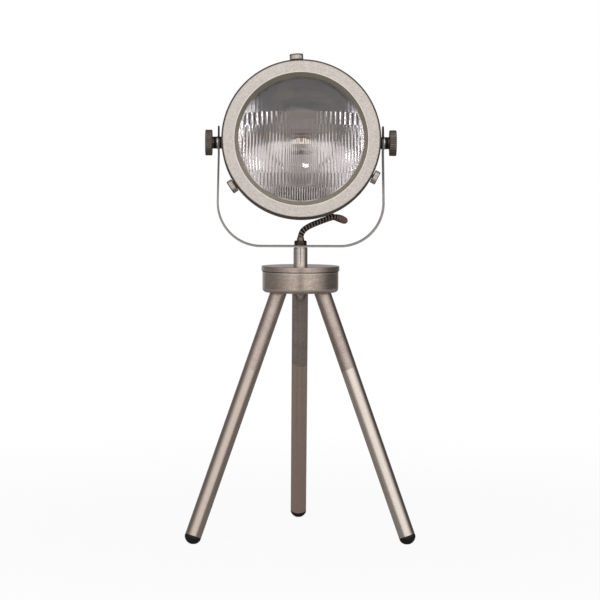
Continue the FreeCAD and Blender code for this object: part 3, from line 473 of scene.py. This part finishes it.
@dataclass(frozen=True)
class BraidedCotton:
    """A dark braid with pale bands across the cord, on the cord's own UV map in metres."""

    name: str
    dark: Colour = tone(34, 24, 19)
    pale: Colour = tone(205, 184, 162)
    # Reddish brown over the cord's bend behind the head, where much of the braid is hidden.
    knuckle_tint: Colour = tone(196, 156, 142)
    knuckle_from: float = 0.059      # along the cord
    knuckle_to: float = 0.097
    knuckle_soft: float = 0.004
    knuckle_least: float = 0.55      # how much of the braid is hidden there
    knuckle_spread: float = 0.3
    pitch: float = 0.00395
    stripe: Span = (0.26, 0.38)     # where dark turns pale, in pitches from a dark band's middle
    strands: int = 12
    strand_lean: float = 1.5        # strands passed in one pitch
    fuzz: float = 3500.0
    fuzz_span: Span = (0.2, 0.6)    # of the noise, from dark fuzz to a clean pale band
    fuzz_height: float = 0.4
    relief: float = 0.0003
    rough: float = 0.85

    def build(self) -> bpy.types.Material:
        """The material."""
        made, graph = material(self.name)
        around, along, _ = graph.parts(graph.node("ShaderNodeTexCoord").outputs["UV"])
        bands = along / self.pitch
        stripe = (bands + around).swing().rise(self.stripe)
        weaves = [
            (around * self.strands + bands * lean).swing() * 2.0
            for lean in (self.strand_lean, -self.strand_lean)
        ]
        height = weaves[0].maths("MAXIMUM", *weaves)
        fuzz = graph.noise(graph.place(Axes()), (self.fuzz,) * 3, detail=3.0, rough=0.7)
        colour = graph.mix(self.dark, self.pale, stripe * fuzz.rise(self.fuzz_span))
        knuckle_tint = along.rise(border(self.knuckle_from, self.knuckle_soft)) \
            * along.fall(border(self.knuckle_to, self.knuckle_soft))
        colour = graph.mix(colour, self.knuckle_tint, knuckle_tint * (self.knuckle_least + self.knuckle_spread * fuzz))
        graph.principled({
            "Base Color": colour, "Roughness": self.rough,
            "Normal": graph.bump(height + fuzz * self.fuzz_height, self.relief),
        })
        return made


COARSE_SPECKLE = 620.0                  # specks to a metre
EVEN_LINES = (350.0, 350.0, 350.0)      # brush lines to a metre, with no direction


def leg_axes(azimuth: float) -> Axes:
    """A leg's own axes, with the third along its tube.

    Args:
        azimuth: Where it points, in degrees.

    Returns:
        The axes.
    """
    turn = math.radians(azimuth)
    out = Vector((math.cos(turn), math.sin(turn), 0.0)) * LEG_TOP_RADIUS
    return Axes((out.x, out.y + STEM_Y, HUB_UNDERSIDE), (0.0, -LEG_SPLAY, turn))


def leg_metal(name: str, azimuth: float, smooth: Colour) -> BrushedMetal:
    """A leg's steel: matt above, smoother below.

    Args:
        name: The leg's name.
        azimuth: Where it points, in degrees.
        smooth: The colour of its lower part, which differs from leg to leg as painted light.

    Returns:
        The finish.
    """
    lower = Zone(Measure.HEIGHT, (-BEYOND, LEG_BORDER), smooth, rough=0.2, soft=0.001, waver=0.008)
    return BrushedMetal(
        f"leg_steel_{name}", tone(232, 214, 204), tone(168, 152, 142), leg_axes(azimuth),
        lines=(700.0, 700.0, 30.0), line_share=0.3, speckle=0.9, speckle_size=COARSE_SPECKLE, zones=(lower,),
    )


@dataclass(frozen=True)
class BulbGlass:
    """A lamp's glass, in bands by height and by place along the head's axis, whose colours are painted light:
    painted shade above, bright glowing flanks, darker ahead on its underside with a painted highlight band
    across it, a warm glowing tip under a dark cap, and brown and near-black patches at its root."""

    name: str
    # Painted light: each band's colour is set for what the mirror shows of it through the glass: painted shade
    # above and ahead on the underside, painted highlights at the flanks and in the band across the underside.
    flank: Colour = tone(242, 236, 234)
    shade_above: Colour = tone(118, 110, 105)
    under: Colour = tone(176, 166, 164)
    under_far: Colour = tone(122, 115, 112)
    heel: Colour = tone(255, 250, 246)      # a bright band across the underside
    tip: Colour = tone(255, 236, 214)
    tip_under: Colour = tone(150, 142, 138)
    root_brown: Colour = tone(146, 100, 66)
    near_black: Colour = tone(40, 35, 33)
    nose: Colour = tone(84, 79, 75)
    rim: Colour = tone(104, 80, 62)     # of the dark cap over the tip
    root_patch_size: float = 420.0
    root_patch_span: Span = (0.42, 0.58)        # of the noise, from scorch to soot
    # Up from the head's axis.
    shade_above_height: Span = (0.0022, 0.0042)
    under_height: Span = (-0.0042, -0.0022)
    heel_height: Span = (-0.0069, -0.0061)
    root_height: Span = (0.0045, 0.0060)
    tip_height: Span = (-0.0032, -0.0024)
    rim_height: Span = (0.0022, 0.0028)
    near_black_height: Span = (0.0032, 0.0042)
    # Ahead of the pivots, along the head's axis.
    under_darkens: Span = (0.0060, 0.0074)
    heel_starts: Span = (0.0078, 0.0080)
    heel_ends: Span = (0.0090, 0.0094)
    nose_starts: Span = (0.0184, 0.0188)
    root_ends: Span = border(0.0052, 0.0008)
    tip_starts: Span = border(0.0145, 0.0006)
    rough: float = 0.15
    # A painted glow: the bulb is not switched on, yet its colours give off light, most at the tip.
    glow: float = 0.6                       # where a white wall in full light is 1
    tip_glow: float = 0.95

    def side(self, graph: Graph, place: bpy.types.NodeSocket) -> bpy.types.NodeSocket:
        """The colour behind the tip.

        Args:
            graph: The material's graph.
            place: The shaded point in the head's axes.

        Returns:
            The colour.
        """
        _, up, ahead = graph.parts(place)
        side = graph.mix(self.flank, self.shade_above, up.rise(self.shade_above_height))
        under = graph.mix(self.under, self.under_far, ahead.rise(self.under_darkens))
        side = graph.mix(under, side, up.rise(self.under_height))
        heel = ahead.rise(self.heel_starts) * ahead.fall(self.heel_ends) * up.fall(self.heel_height)
        side = graph.mix(side, self.heel, heel)
        patches = graph.noise(place, (self.root_patch_size,) * 3).rise(self.root_patch_span)
        root = ahead.fall(self.root_ends) * up.rise(self.root_height)
        return graph.mix(side, graph.mix(self.root_brown, self.near_black, patches), root)

    def front(self, graph: Graph, place: bpy.types.NodeSocket) -> bpy.types.NodeSocket:
        """The tip's colour.

        Args:
            graph: The material's graph.
            place: The shaded point in the head's axes.

        Returns:
            The colour.
        """
        _, up, ahead = graph.parts(place)
        front = graph.mix(self.tip_under, self.tip, up.rise(self.tip_height))
        front = graph.mix(front, self.rim, up.rise(self.rim_height))
        front = graph.mix(front, self.near_black, up.rise(self.near_black_height))
        return graph.mix(front, self.nose, ahead.rise(self.nose_starts))

    def build(self) -> bpy.types.Material:
        """The material, whose colours give off a painted glow, most at the warm tip."""
        made, graph = material(self.name)
        place = graph.place(HEAD_AXES)
        _, up, ahead = graph.parts(place)
        at_tip = ahead.rise(self.tip_starts)
        shown = graph.mix(self.side(graph, place), self.front(graph, place), at_tip)
        lit = at_tip * up.rise(self.tip_height) * up.fall(self.rim_height)
        share = self.glow / self.tip_glow
        glow = graph.mix(BLACK, shown, share + (1.0 - share) * lit)
        graph.principled({
            "Base Color": shown, "Roughness": self.rough,
            "Emission Color": glow, "Emission Strength": self.tip_glow,
        })
        return made


class Finish(Enum):
    """The finishes of the lamp."""

    PEWTER = BrushedMetal(
        "pewter", tone(252, 232, 218), tone(176, 158, 146), speckle=0.9, speckle_size=COARSE_SPECKLE,
        cloud=0.45, depth=0.000006, rough=0.29, zones=(
            # Painted shade: a dark line at the seam under the lid's rim; painted highlights: light lines just
            # under it and near the hub's foot.
            Zone(Measure.HEIGHT, HUB_SEAM, tone(84, 70, 62), rough=0.5, soft=0.0003),
            Zone(Measure.HEIGHT, HUB_SHOULDER, tone(255, 242, 230), rough=0.35, soft=0.0003),
            Zone(Measure.HEIGHT, HUB_LOW_LINE, tone(255, 242, 230), rough=0.35, soft=0.0005),
        ),
    )
    LID = BrushedMetal(
        "lid_pewter", tone(244, 226, 214), tone(182, 164, 152), speckle=0.9, speckle_size=COARSE_SPECKLE,
        rough=0.3,
    )
    NUT = BrushedMetal("nut_pewter", tone(204, 186, 176), tone(150, 134, 124), rough=0.42)
    RING = BrushedMetal(
        "ring_pewter", tone(255, 246, 238), tone(198, 187, 178), HEAD_AXES, EVEN_LINES,
        speckle=1.0, speckle_size=COARSE_SPECKLE, cloud=0.12, rough=0.42, zones=(
            # Painted shade: a dark band at the outer edge, a darker outer wall and a darker throat; painted
            # highlight: a light line at the lip.
            Zone(Measure.REACH, RING_EDGE, tone(84, 74, 68), rough=0.45, soft=0.0010),
            Zone(Measure.REACH, RING_WALL, tone(142, 126, 116), rough=0.45, soft=0.0002),
            Zone(Measure.REACH, RING_THROAT, tone(212, 198, 178), rough=0.4, soft=0.0003),
            Zone(Measure.REACH, RING_LIP, tone(255, 250, 242), rough=0.3, soft=0.0002),
        ),
    )
    SHELL = BrushedMetal(
        "shell_pewter", tone(220, 206, 194), tone(172, 158, 147), HEAD_AXES, zones=(
            # Painted shade at the pole, darker and rougher, dulls a stray highlight that the mesh's normals
            # make there.
            Zone(Measure.REACH, SHELL_POLE, tone(205, 190, 178), rough=0.6, soft=0.0030),
        ),
    )
    STEM = BrushedMetal(
        "stem_pewter", tone(255, 244, 234), tone(208, 196, 186), speckle=0.9, speckle_size=COARSE_SPECKLE,
        rough=0.24,
    )
    STRAP = BrushedMetal(
        "strap_steel", tone(212, 207, 200), tone(172, 167, 160), lines=(900.0, 60.0, 60.0), rough=0.45, zones=(
            # Painted shade: the arms darker above the bend, and the tips over the pivots nearly black.
            Zone(Measure.HEIGHT, STRAP_ARMS, tone(150, 145, 139), rough=0.45, soft=0.014),
            Zone(Measure.HEIGHT, STRAP_TIPS, tone(60, 54, 50), rough=0.5, soft=0.001),
        ),
    )
    # Lit and shaded copies of one steel: each leg's lower colour is painted light, lighter on the right and
    # rear legs and darker on the left, for how the light falls on them.
    LEG_REAR = leg_metal("rear", 90.0, tone(244, 216, 200))
    LEG_LEFT = leg_metal("left", 210.0, tone(216, 199, 187))
    LEG_RIGHT = leg_metal("right", 330.0, tone(246, 232, 220))
    THUMB = BrushedMetal(
        "thumb_steel", tone(252, 242, 234), tone(204, 192, 184), HEAD_AXES, rough=0.28, zones=(
            # Painted shade: a dark band at the inner end, where a thumbscrew meets the ring, and a darker
            # outer end.
            Zone(Measure.REACH, THUMB_INNER_END, tone(96, 84, 78), rough=0.4, soft=0.0003),
            Zone(Measure.REACH, THUMB_OUTER_END, tone(164, 152, 145), rough=0.4, soft=0.0003),
        ),
    )
    BRONZE = BrushedMetal(
        "dark_bronze", tone(158, 144, 136), tone(106, 94, 88), rough=0.45, zones=(
            Zone(Measure.ASIDE, KNOB_INNER_SIDE, tone(62, 54, 50), rough=0.45, soft=0.0004),
        ),
    )
    BUSH = BrushedMetal("bush_metal", tone(170, 158, 148), tone(110, 98, 90))
    BRIGHT = PlainFinish(
        "bright_plate", tone(255, 252, 246), tone(236, 232, 226), rough=0.3, metallic=1.0,
        grain_depth=0.000004,
    )
    ZINC = PlainFinish(
        "zinc_plate", tone(190, 192, 196), tone(150, 152, 158), rough=0.35, metallic=1.0, grain_depth=0.00001,
    )
    BLACK_METAL = PlainFinish(
        "black_steel", tone(128, 110, 100), tone(72, 60, 54), rough=0.3, metallic=1.0, grain=900.0,
    )
    BLACK_PLASTIC = PlainFinish("black_nylon", tone(40, 36, 35), tone(30, 28, 27), rough=0.45)
    RUBBER = PlainFinish("black_rubber", tone(26, 23, 23), tone(18, 16, 16), rough=0.5)
    CERAMIC = PlainFinish("steatite", tone(225, 220, 208), tone(205, 198, 184), rough=0.55)
    CORE = PlainFinish("core_insulation", tone(120, 80, 50), tone(100, 66, 42), rough=0.4)
    REFLECTOR = PlainFinish(
        "mirror", tone(248, 246, 246), tone(240, 238, 238), rough=0.08, metallic=1.0, grain_depth=0.000001,
    )
    GLASS = ClearGlass("lens_glass")
    BULB = BulbGlass("bulb_glass")
    BRAID = BraidedCotton("braid")


class Wardrobe:
    """Builds each finish once and puts it on nodes and pieces."""

    def __init__(self) -> None:
        """Starts with nothing built."""
        self.built: dict[Finish, bpy.types.Material] = {}

    def material(self, finish: Finish) -> bpy.types.Material:
        """The material of a finish."""
        if finish not in self.built:
            self.built[finish] = finish.value.build()
        return self.built[finish]

    def dress(self, finish: Finish, *nodes: str) -> None:
        """Puts a finish on CAD nodes.

        Args:
            finish: The finish.
            nodes: The nodes' names.
        """
        for node in nodes:
            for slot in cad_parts[node].material_slots:
                slot.material = self.material(finish)
            LOG.info("%s wears %s", node, finish.value.name)


# ---------------------------------------------------------------- sub-assemblies
@dataclass
class Tripod:
    """Legs, feet, hub and stem, with the nut and the bush on top of it and the cord inside."""

    legs: tuple[tuple[str, Finish], ...] = (
        ("rear", Finish.LEG_REAR), ("left", Finish.LEG_LEFT), ("right", Finish.LEG_RIGHT),
    )

    def build(self, wardrobe: Wardrobe) -> None:
        """Dresses its nodes."""
        wardrobe.dress(Finish.PEWTER, "hub_body")
        wardrobe.dress(Finish.NUT, "cap_nut")
        wardrobe.dress(Finish.LID, "hub_lid")
        wardrobe.dress(Finish.STEM, "stem_tube")
        wardrobe.dress(Finish.BRIGHT, "stem_washer")
        wardrobe.dress(Finish.BUSH, "cord_bush")
        wardrobe.dress(Finish.BLACK_METAL, "gland_nut")
        wardrobe.dress(Finish.ZINC, "leg_plugs", "leg_washers", "leg_bolts", "threaded_rod", "floor_nut",
                       "lid_washer", "lid_nut")
        wardrobe.dress(Finish.RUBBER, "inlet_grommet")
        wardrobe.dress(Finish.BLACK_PLASTIC, "terminal_block")
        wardrobe.dress(Finish.CORE, "supply_cores")
        wardrobe.dress(Finish.BRAID, "stem_lead")
        for leg, finish in self.legs:
            wardrobe.dress(finish, f"leg_{leg}")
            wardrobe.dress(Finish.RUBBER, f"foot_{leg}")


@dataclass
class Yoke:
    """The strap and its washers."""

    def build(self, wardrobe: Wardrobe) -> None:
        """Dresses its nodes."""
        wardrobe.dress(Finish.STRAP, "yoke_strap")
        wardrobe.dress(Finish.BRIGHT, "tilt_washers")


@dataclass
class Head:
    """Shell, ring, glass, reflector and bulb, with the knobs and thumbscrews that turn in them."""

    def build(self, wardrobe: Wardrobe) -> None:
        """Dresses its nodes."""
        wardrobe.dress(Finish.RING, "bezel_ring")
        wardrobe.dress(Finish.SHELL, "head_shell")
        wardrobe.dress(Finish.GLASS, "lens")
        wardrobe.dress(Finish.REFLECTOR, "reflector")
        wardrobe.dress(Finish.RUBBER, "lens_gasket")
        wardrobe.dress(Finish.BULB, "bulb")
        wardrobe.dress(Finish.CERAMIC, "lamp_holder")
        wardrobe.dress(Finish.ZINC, "holder_bracket", "bracket_rivets", "bezel_nuts", "pivot_nuts")
        wardrobe.dress(Finish.BLACK_PLASTIC, "pivot_boss_left", "pivot_boss_right",
                       "rear_gland", "rear_gland_nut")
        wardrobe.dress(Finish.BRAID, "head_lead")
        wardrobe.dress(Finish.BRONZE, "knob_left", "knob_right")
        wardrobe.dress(Finish.THUMB, "thumbscrew_top", "thumbscrew_left", "thumbscrew_right")


@dataclass
class LinkCord:
    """The braided cord from the bush on the stem to the gland at the back of the head."""

    radius: float = 0.00365
    length: float = 0.2365
    sides: int = 28
    steps: int = 30         # of the spline between two points
    points: tuple[Point, ...] = (      # from the stem's axis
        (0.0, 0.0, 0.3730), (0.0009, 0.0003, 0.3789), (0.0068, 0.0018, 0.3849),
        (0.0175, 0.0050, 0.3900), (0.0295, 0.0084, 0.3944), (0.0413, 0.0134, 0.3984),
        (0.0510, 0.0222, 0.3970), (0.0564, 0.0346, 0.3934), (0.0562, 0.0486, 0.3916),
        (0.0512, 0.0622, 0.3930), (0.0430, 0.0752, 0.3962), (0.0332, 0.0894, 0.4004),
        (0.0226, 0.1040, 0.4062), (0.0126, 0.1170, 0.4176), (0.0054, 0.1192, 0.4362),
        (0.0008, 0.1078, 0.4514), (0.0, 0.089308, 0.455265),
    )

    def route(self) -> list[Vector]:
        """The route's points in the part's frame."""
        return [Vector(point) + Vector((0.0, STEM_Y, 0.0)) for point in self.points]

    def line(self) -> list[Vector]:
        """Points along the smooth line through the route, read from its spline.

        Returns:
            The points, from the bush to the gland.
        """
        curve = bpy.data.curves.new("cord_line", "CURVE")
        curve.dimensions = "3D"
        curve.resolution_u = self.steps
        spline = curve.splines.new("NURBS")
        route = self.route()
        spline.points.add(len(route) - 1)
        for target, point in zip(spline.points, route):
            target.co = (*point, 1.0)
        spline.order_u = 3
        spline.use_endpoint_u = True
        holder = bpy.data.objects.new("cord_line", curve)
        bpy.context.scene.collection.objects.link(holder)
        bpy.context.view_layer.update()
        mesh = bpy.data.meshes.new_from_object(holder.evaluated_get(bpy.context.evaluated_depsgraph_get()))
        line = [vertex.co.copy() for vertex in mesh.vertices]
        bpy.data.objects.remove(holder)
        bpy.data.meshes.remove(mesh)
        bpy.data.curves.remove(curve)
        return line

    def tube(self, line: list[Vector]) -> bpy.types.Object:
        """A tube along a line, with a UV map of turns and metres.

        Args:
            line: The points along its middle.

        Returns:
            The tube.
        """
        mesh = bmesh.new()
        uv = mesh.loops.layers.uv.new("UVMap")
        rings = []
        aside = Vector((0.0, 1.0, 0.0))
        travelled = [0.0]
        for index, point in enumerate(line):
            ahead = (line[min(index + 1, len(line) - 1)] - line[max(index - 1, 0)]).normalized()
            aside = (aside - ahead * aside.dot(ahead)).normalized()
            up = ahead.cross(aside)
            ring = []
            for side in range(self.sides):
                turn = 2 * math.pi * side / self.sides
                out = math.cos(turn) * aside + math.sin(turn) * up
                ring.append(mesh.verts.new(point + self.radius * out))
            if index:
                travelled.append(travelled[-1] + (point - line[index - 1]).length)
            rings.append(ring)
        for row in range(len(rings) - 1):
            for side in range(self.sides):
                after = (side + 1) % self.sides
                corners = [
                    (rings[row][side], side, row), (rings[row][after], side + 1, row),
                    (rings[row + 1][after], side + 1, row + 1), (rings[row + 1][side], side, row + 1),
                ]
                face = mesh.faces.new([vert for vert, _, _ in corners])
                face.smooth = True
                for loop, (_, place, step) in zip(face.loops, corners):
                    loop[uv].uv = (place / self.sides, travelled[step])
        mesh.faces.new(list(reversed(rings[0])))
        mesh.faces.new(rings[-1])
        bmesh.ops.recalc_face_normals(mesh, faces=mesh.faces)
        data = bpy.data.meshes.new("link_cord_braid")
        mesh.to_mesh(data)
        mesh.free()
        tube = bpy.data.objects.new("link_cord_braid", data)
        bpy.context.scene.collection.objects.link(tube)
        return tube

    def build(self, wardrobe: Wardrobe) -> None:
        line = self.line()
        tube = self.tube(line)
        tube.data.materials.append(wardrobe.material(Finish.BRAID))
        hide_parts("link_cord")
        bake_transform(tube)
        LOG.info("link_cord_braid replaces link_cord")


@dataclass
class Studio:
    """The floor, the light and the camera."""

    distance: float = 3.2
    eye_height: float = 0.497
    heading: float = math.radians(-0.6)
    look_down: float = math.radians(3.616)
    roll: float = 0.0035
    aside: float = -0.0004
    lens: float = 154.15
    floor_half: float = 3.0
    floor_paint: float = 0.50           # for all but the camera
    floor_seen: float = 0.9             # the camera's, under the white
    shadow_reach: Span = (0.2, 1.2)     # where the shadow fades out, from the part's middle
    white_share: Span = (0.93, 1.0)     # of white over the paint, before and past that
    sun: Point = (0.10, -0.97, 0.22)    # where the brightest of the surroundings is
    left_light: float = 0.20            # of what the object reflects from its sides
    right_light: float = 0.06
    back_light: float = 0.4
    # Degrees away from the sun.
    front_fades: Span = (18.0, 92.0)
    back_starts: Span = (135.0, 160.0)
    # A dark patch in front, just below the camera, in degrees.
    eye_light: float = 0.12
    eye_drop: float = 3.0
    eye_aside: Span = (6.0, 9.0)
    eye_spread: Span = (6.0, 9.0)
    # A dark flag in front and above, as far as the glass lets it in, in degrees.
    flag_light: float = 0.02
    flag_aside: Span = (26.0, 36.0)
    flag_foot: Span = (0.0, 3.0)
    flag_top: Span = (24.0, 32.0)
    softbox: Point = (-1.2, -1.8, 1.9)
    softbox_aim: float = 0.35           # the height it faces
    softbox_size: Size = (1.2, 1.2)
    softbox_power: float = 12.0
    glint: Point = (0.083, -1.50, 0.336)
    glint_size: Size = (0.10, 0.06)
    glint_power: float = 0.36
    sensor: float = 36.0                # millimetres, like the lens

    def camera(self) -> None:
        """Stands the camera in front."""
        data = bpy.data.cameras.new("camera")
        data.lens = self.lens
        data.sensor_width = self.sensor
        eye = bpy.data.objects.new("camera", data)
        turn = Matrix.Rotation(self.heading, 4, "Z")
        place = Vector((0.0, STEM_Y, self.eye_height)) + turn @ Vector((self.aside, -self.distance, 0.0))
        tilt = Matrix.Rotation(math.pi / 2 - self.look_down, 4, "X")
        eye.matrix_world = Matrix.Translation(place) @ turn @ tilt @ Matrix.Rotation(self.roll, 4, "Z")
        bpy.context.scene.collection.objects.link(eye)
        bpy.context.scene.camera = eye

    def floor(self) -> None:
        """Lays a floor that is white to the camera, with a faint shadow, and grey to the metal."""
        bpy.ops.object.select_all(action="DESELECT")
        bpy.ops.mesh.primitive_plane_add(size=2 * self.floor_half, location=(0.0, 0.0, 0.0))
        floor = bpy.context.object
        floor.name = "floor"
        made, graph = material("pale_floor")
        x, y, _ = graph.parts(graph.place(Axes()))
        reach = (x * x + y * y) ** 0.5
        seen = Value(graph, graph.node("ShaderNodeLightPath").outputs["Is Camera Ray"])
        paint = graph.node("ShaderNodeBsdfDiffuse", None, {
            "Color": graph.mix((self.floor_paint,) * 3, (self.floor_seen,) * 3, seen),
        })
        white = graph.node("ShaderNodeEmission", None, {"Color": opaque(WHITE), "Strength": 1.0})
        share = seen * reach.step(*self.shadow_reach, *self.white_share)
        blend = graph.node("ShaderNodeMixShader", None, {0: share, 1: paint.outputs[0], 2: white.outputs[0]})
        graph.output(blend)
        floor.data.materials.append(made)

    def world(self) -> None:
        """Surrounds the lamp with light.

        It is white for the camera. Rays that come out through glass see white too, but for a dark
        flag in front and above. All others see it bright in front, dim at the sides and a little
        brighter again behind, with a dark patch just below the camera.
        """
        world = bpy.data.worlds.new("studio")
        bpy.context.scene.world = world
        world.use_nodes = True
        graph = Graph(world.node_tree)
        x, y, z = graph.parts(graph.node("ShaderNodeTexCoord").outputs["Generated"])
        sun = Vector(self.sun).normalized()
        away = x * sun.x + y * sun.y + z * sun.z
        degrees = 180 / math.pi
        away = away.maths("ARCCOSINE", away) * degrees
        side = (self.left_light + self.right_light) / 2 + x * ((self.right_light - self.left_light) / 2)
        light = side + (1.0 - side) * away.fall(self.front_fades) \
            + self.back_light * away.rise(self.back_starts)
        azimuth = abs(x.maths("ARCTAN2", x, y * -1.0)) * degrees
        height = z.maths("ARCSINE", z) * degrees
        eye = azimuth.fall(self.eye_aside) * abs(height + self.eye_drop).fall(self.eye_spread)
        light = light * (1.0 - (1.0 - self.eye_light) * eye)
        flag = azimuth.fall(self.flag_aside) * height.rise(self.flag_foot) * height.fall(self.flag_top)
        behind_glass = 1.0 - (1.0 - self.flag_light) * flag
        path = graph.node("ShaderNodeLightPath")
        seen = Value(graph, path.outputs["Is Camera Ray"])
        passed = Value(graph, path.outputs["Is Transmission Ray"])
        strength = seen + (1 - seen) * (light + passed * (behind_glass - light))
        shade = graph.node("ShaderNodeBackground", None, {"Color": opaque(WHITE), "Strength": strength})
        graph.output(shade, "ShaderNodeOutputWorld")

    def lamp(self, name: str, place: Point, aim: Point, size: Size, power: float) -> bpy.types.Object:
        """Hangs one flat lamp.

        Args:
            name: Its name.
            place: Where it hangs.
            aim: What it faces.
            size: Its width and height.
            power: Its power in watts.

        Returns:
            The lamp.
        """
        data = bpy.data.lights.new(name, "AREA")
        data.shape = "RECTANGLE"
        data.size, data.size_y = size
        data.energy = power
        box = bpy.data.objects.new(name, data)
        box.location = place
        box.rotation_euler = (Vector(aim) - box.location).to_track_quat("-Z", "Y").to_euler()
        box.visible_camera = False
        bpy.context.scene.collection.objects.link(box)
        return box

    def lamps(self) -> None:
        """Hangs a soft lamp for what isn't metal or glass, and a small one that glints in the glass."""
        aim = (0.0, STEM_Y, self.softbox_aim)
        softbox = self.lamp("softbox", self.softbox, aim, self.softbox_size, self.softbox_power)
        softbox.visible_glossy = False
        softbox.visible_transmission = False
        aim = (0.0, STEM_Y, PIVOT_HEIGHT)
        glint = self.lamp("glint", self.glint, aim, self.glint_size, self.glint_power)
        glass = bpy.data.collections.new("glass_only")
        glass.objects.link(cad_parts["lens"])
        glint.light_linking.receiver_collection = glass

    def build(self) -> None:
        """Sets it all up."""
        bpy.context.scene.view_settings.view_transform = "Standard"
        self.camera()
        self.floor()
        self.world()
        self.lamps()


def main() -> None:
    """Builds the lamp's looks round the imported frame."""
    logging.basicConfig(level=logging.INFO, format="%(message)s")
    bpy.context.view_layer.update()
    wardrobe = Wardrobe()
    Tripod().build(wardrobe)
    Yoke().build(wardrobe)
    Head().build(wardrobe)
    LinkCord().build(wardrobe)
    Studio().build()


if __name__ == "__main__":
    main()
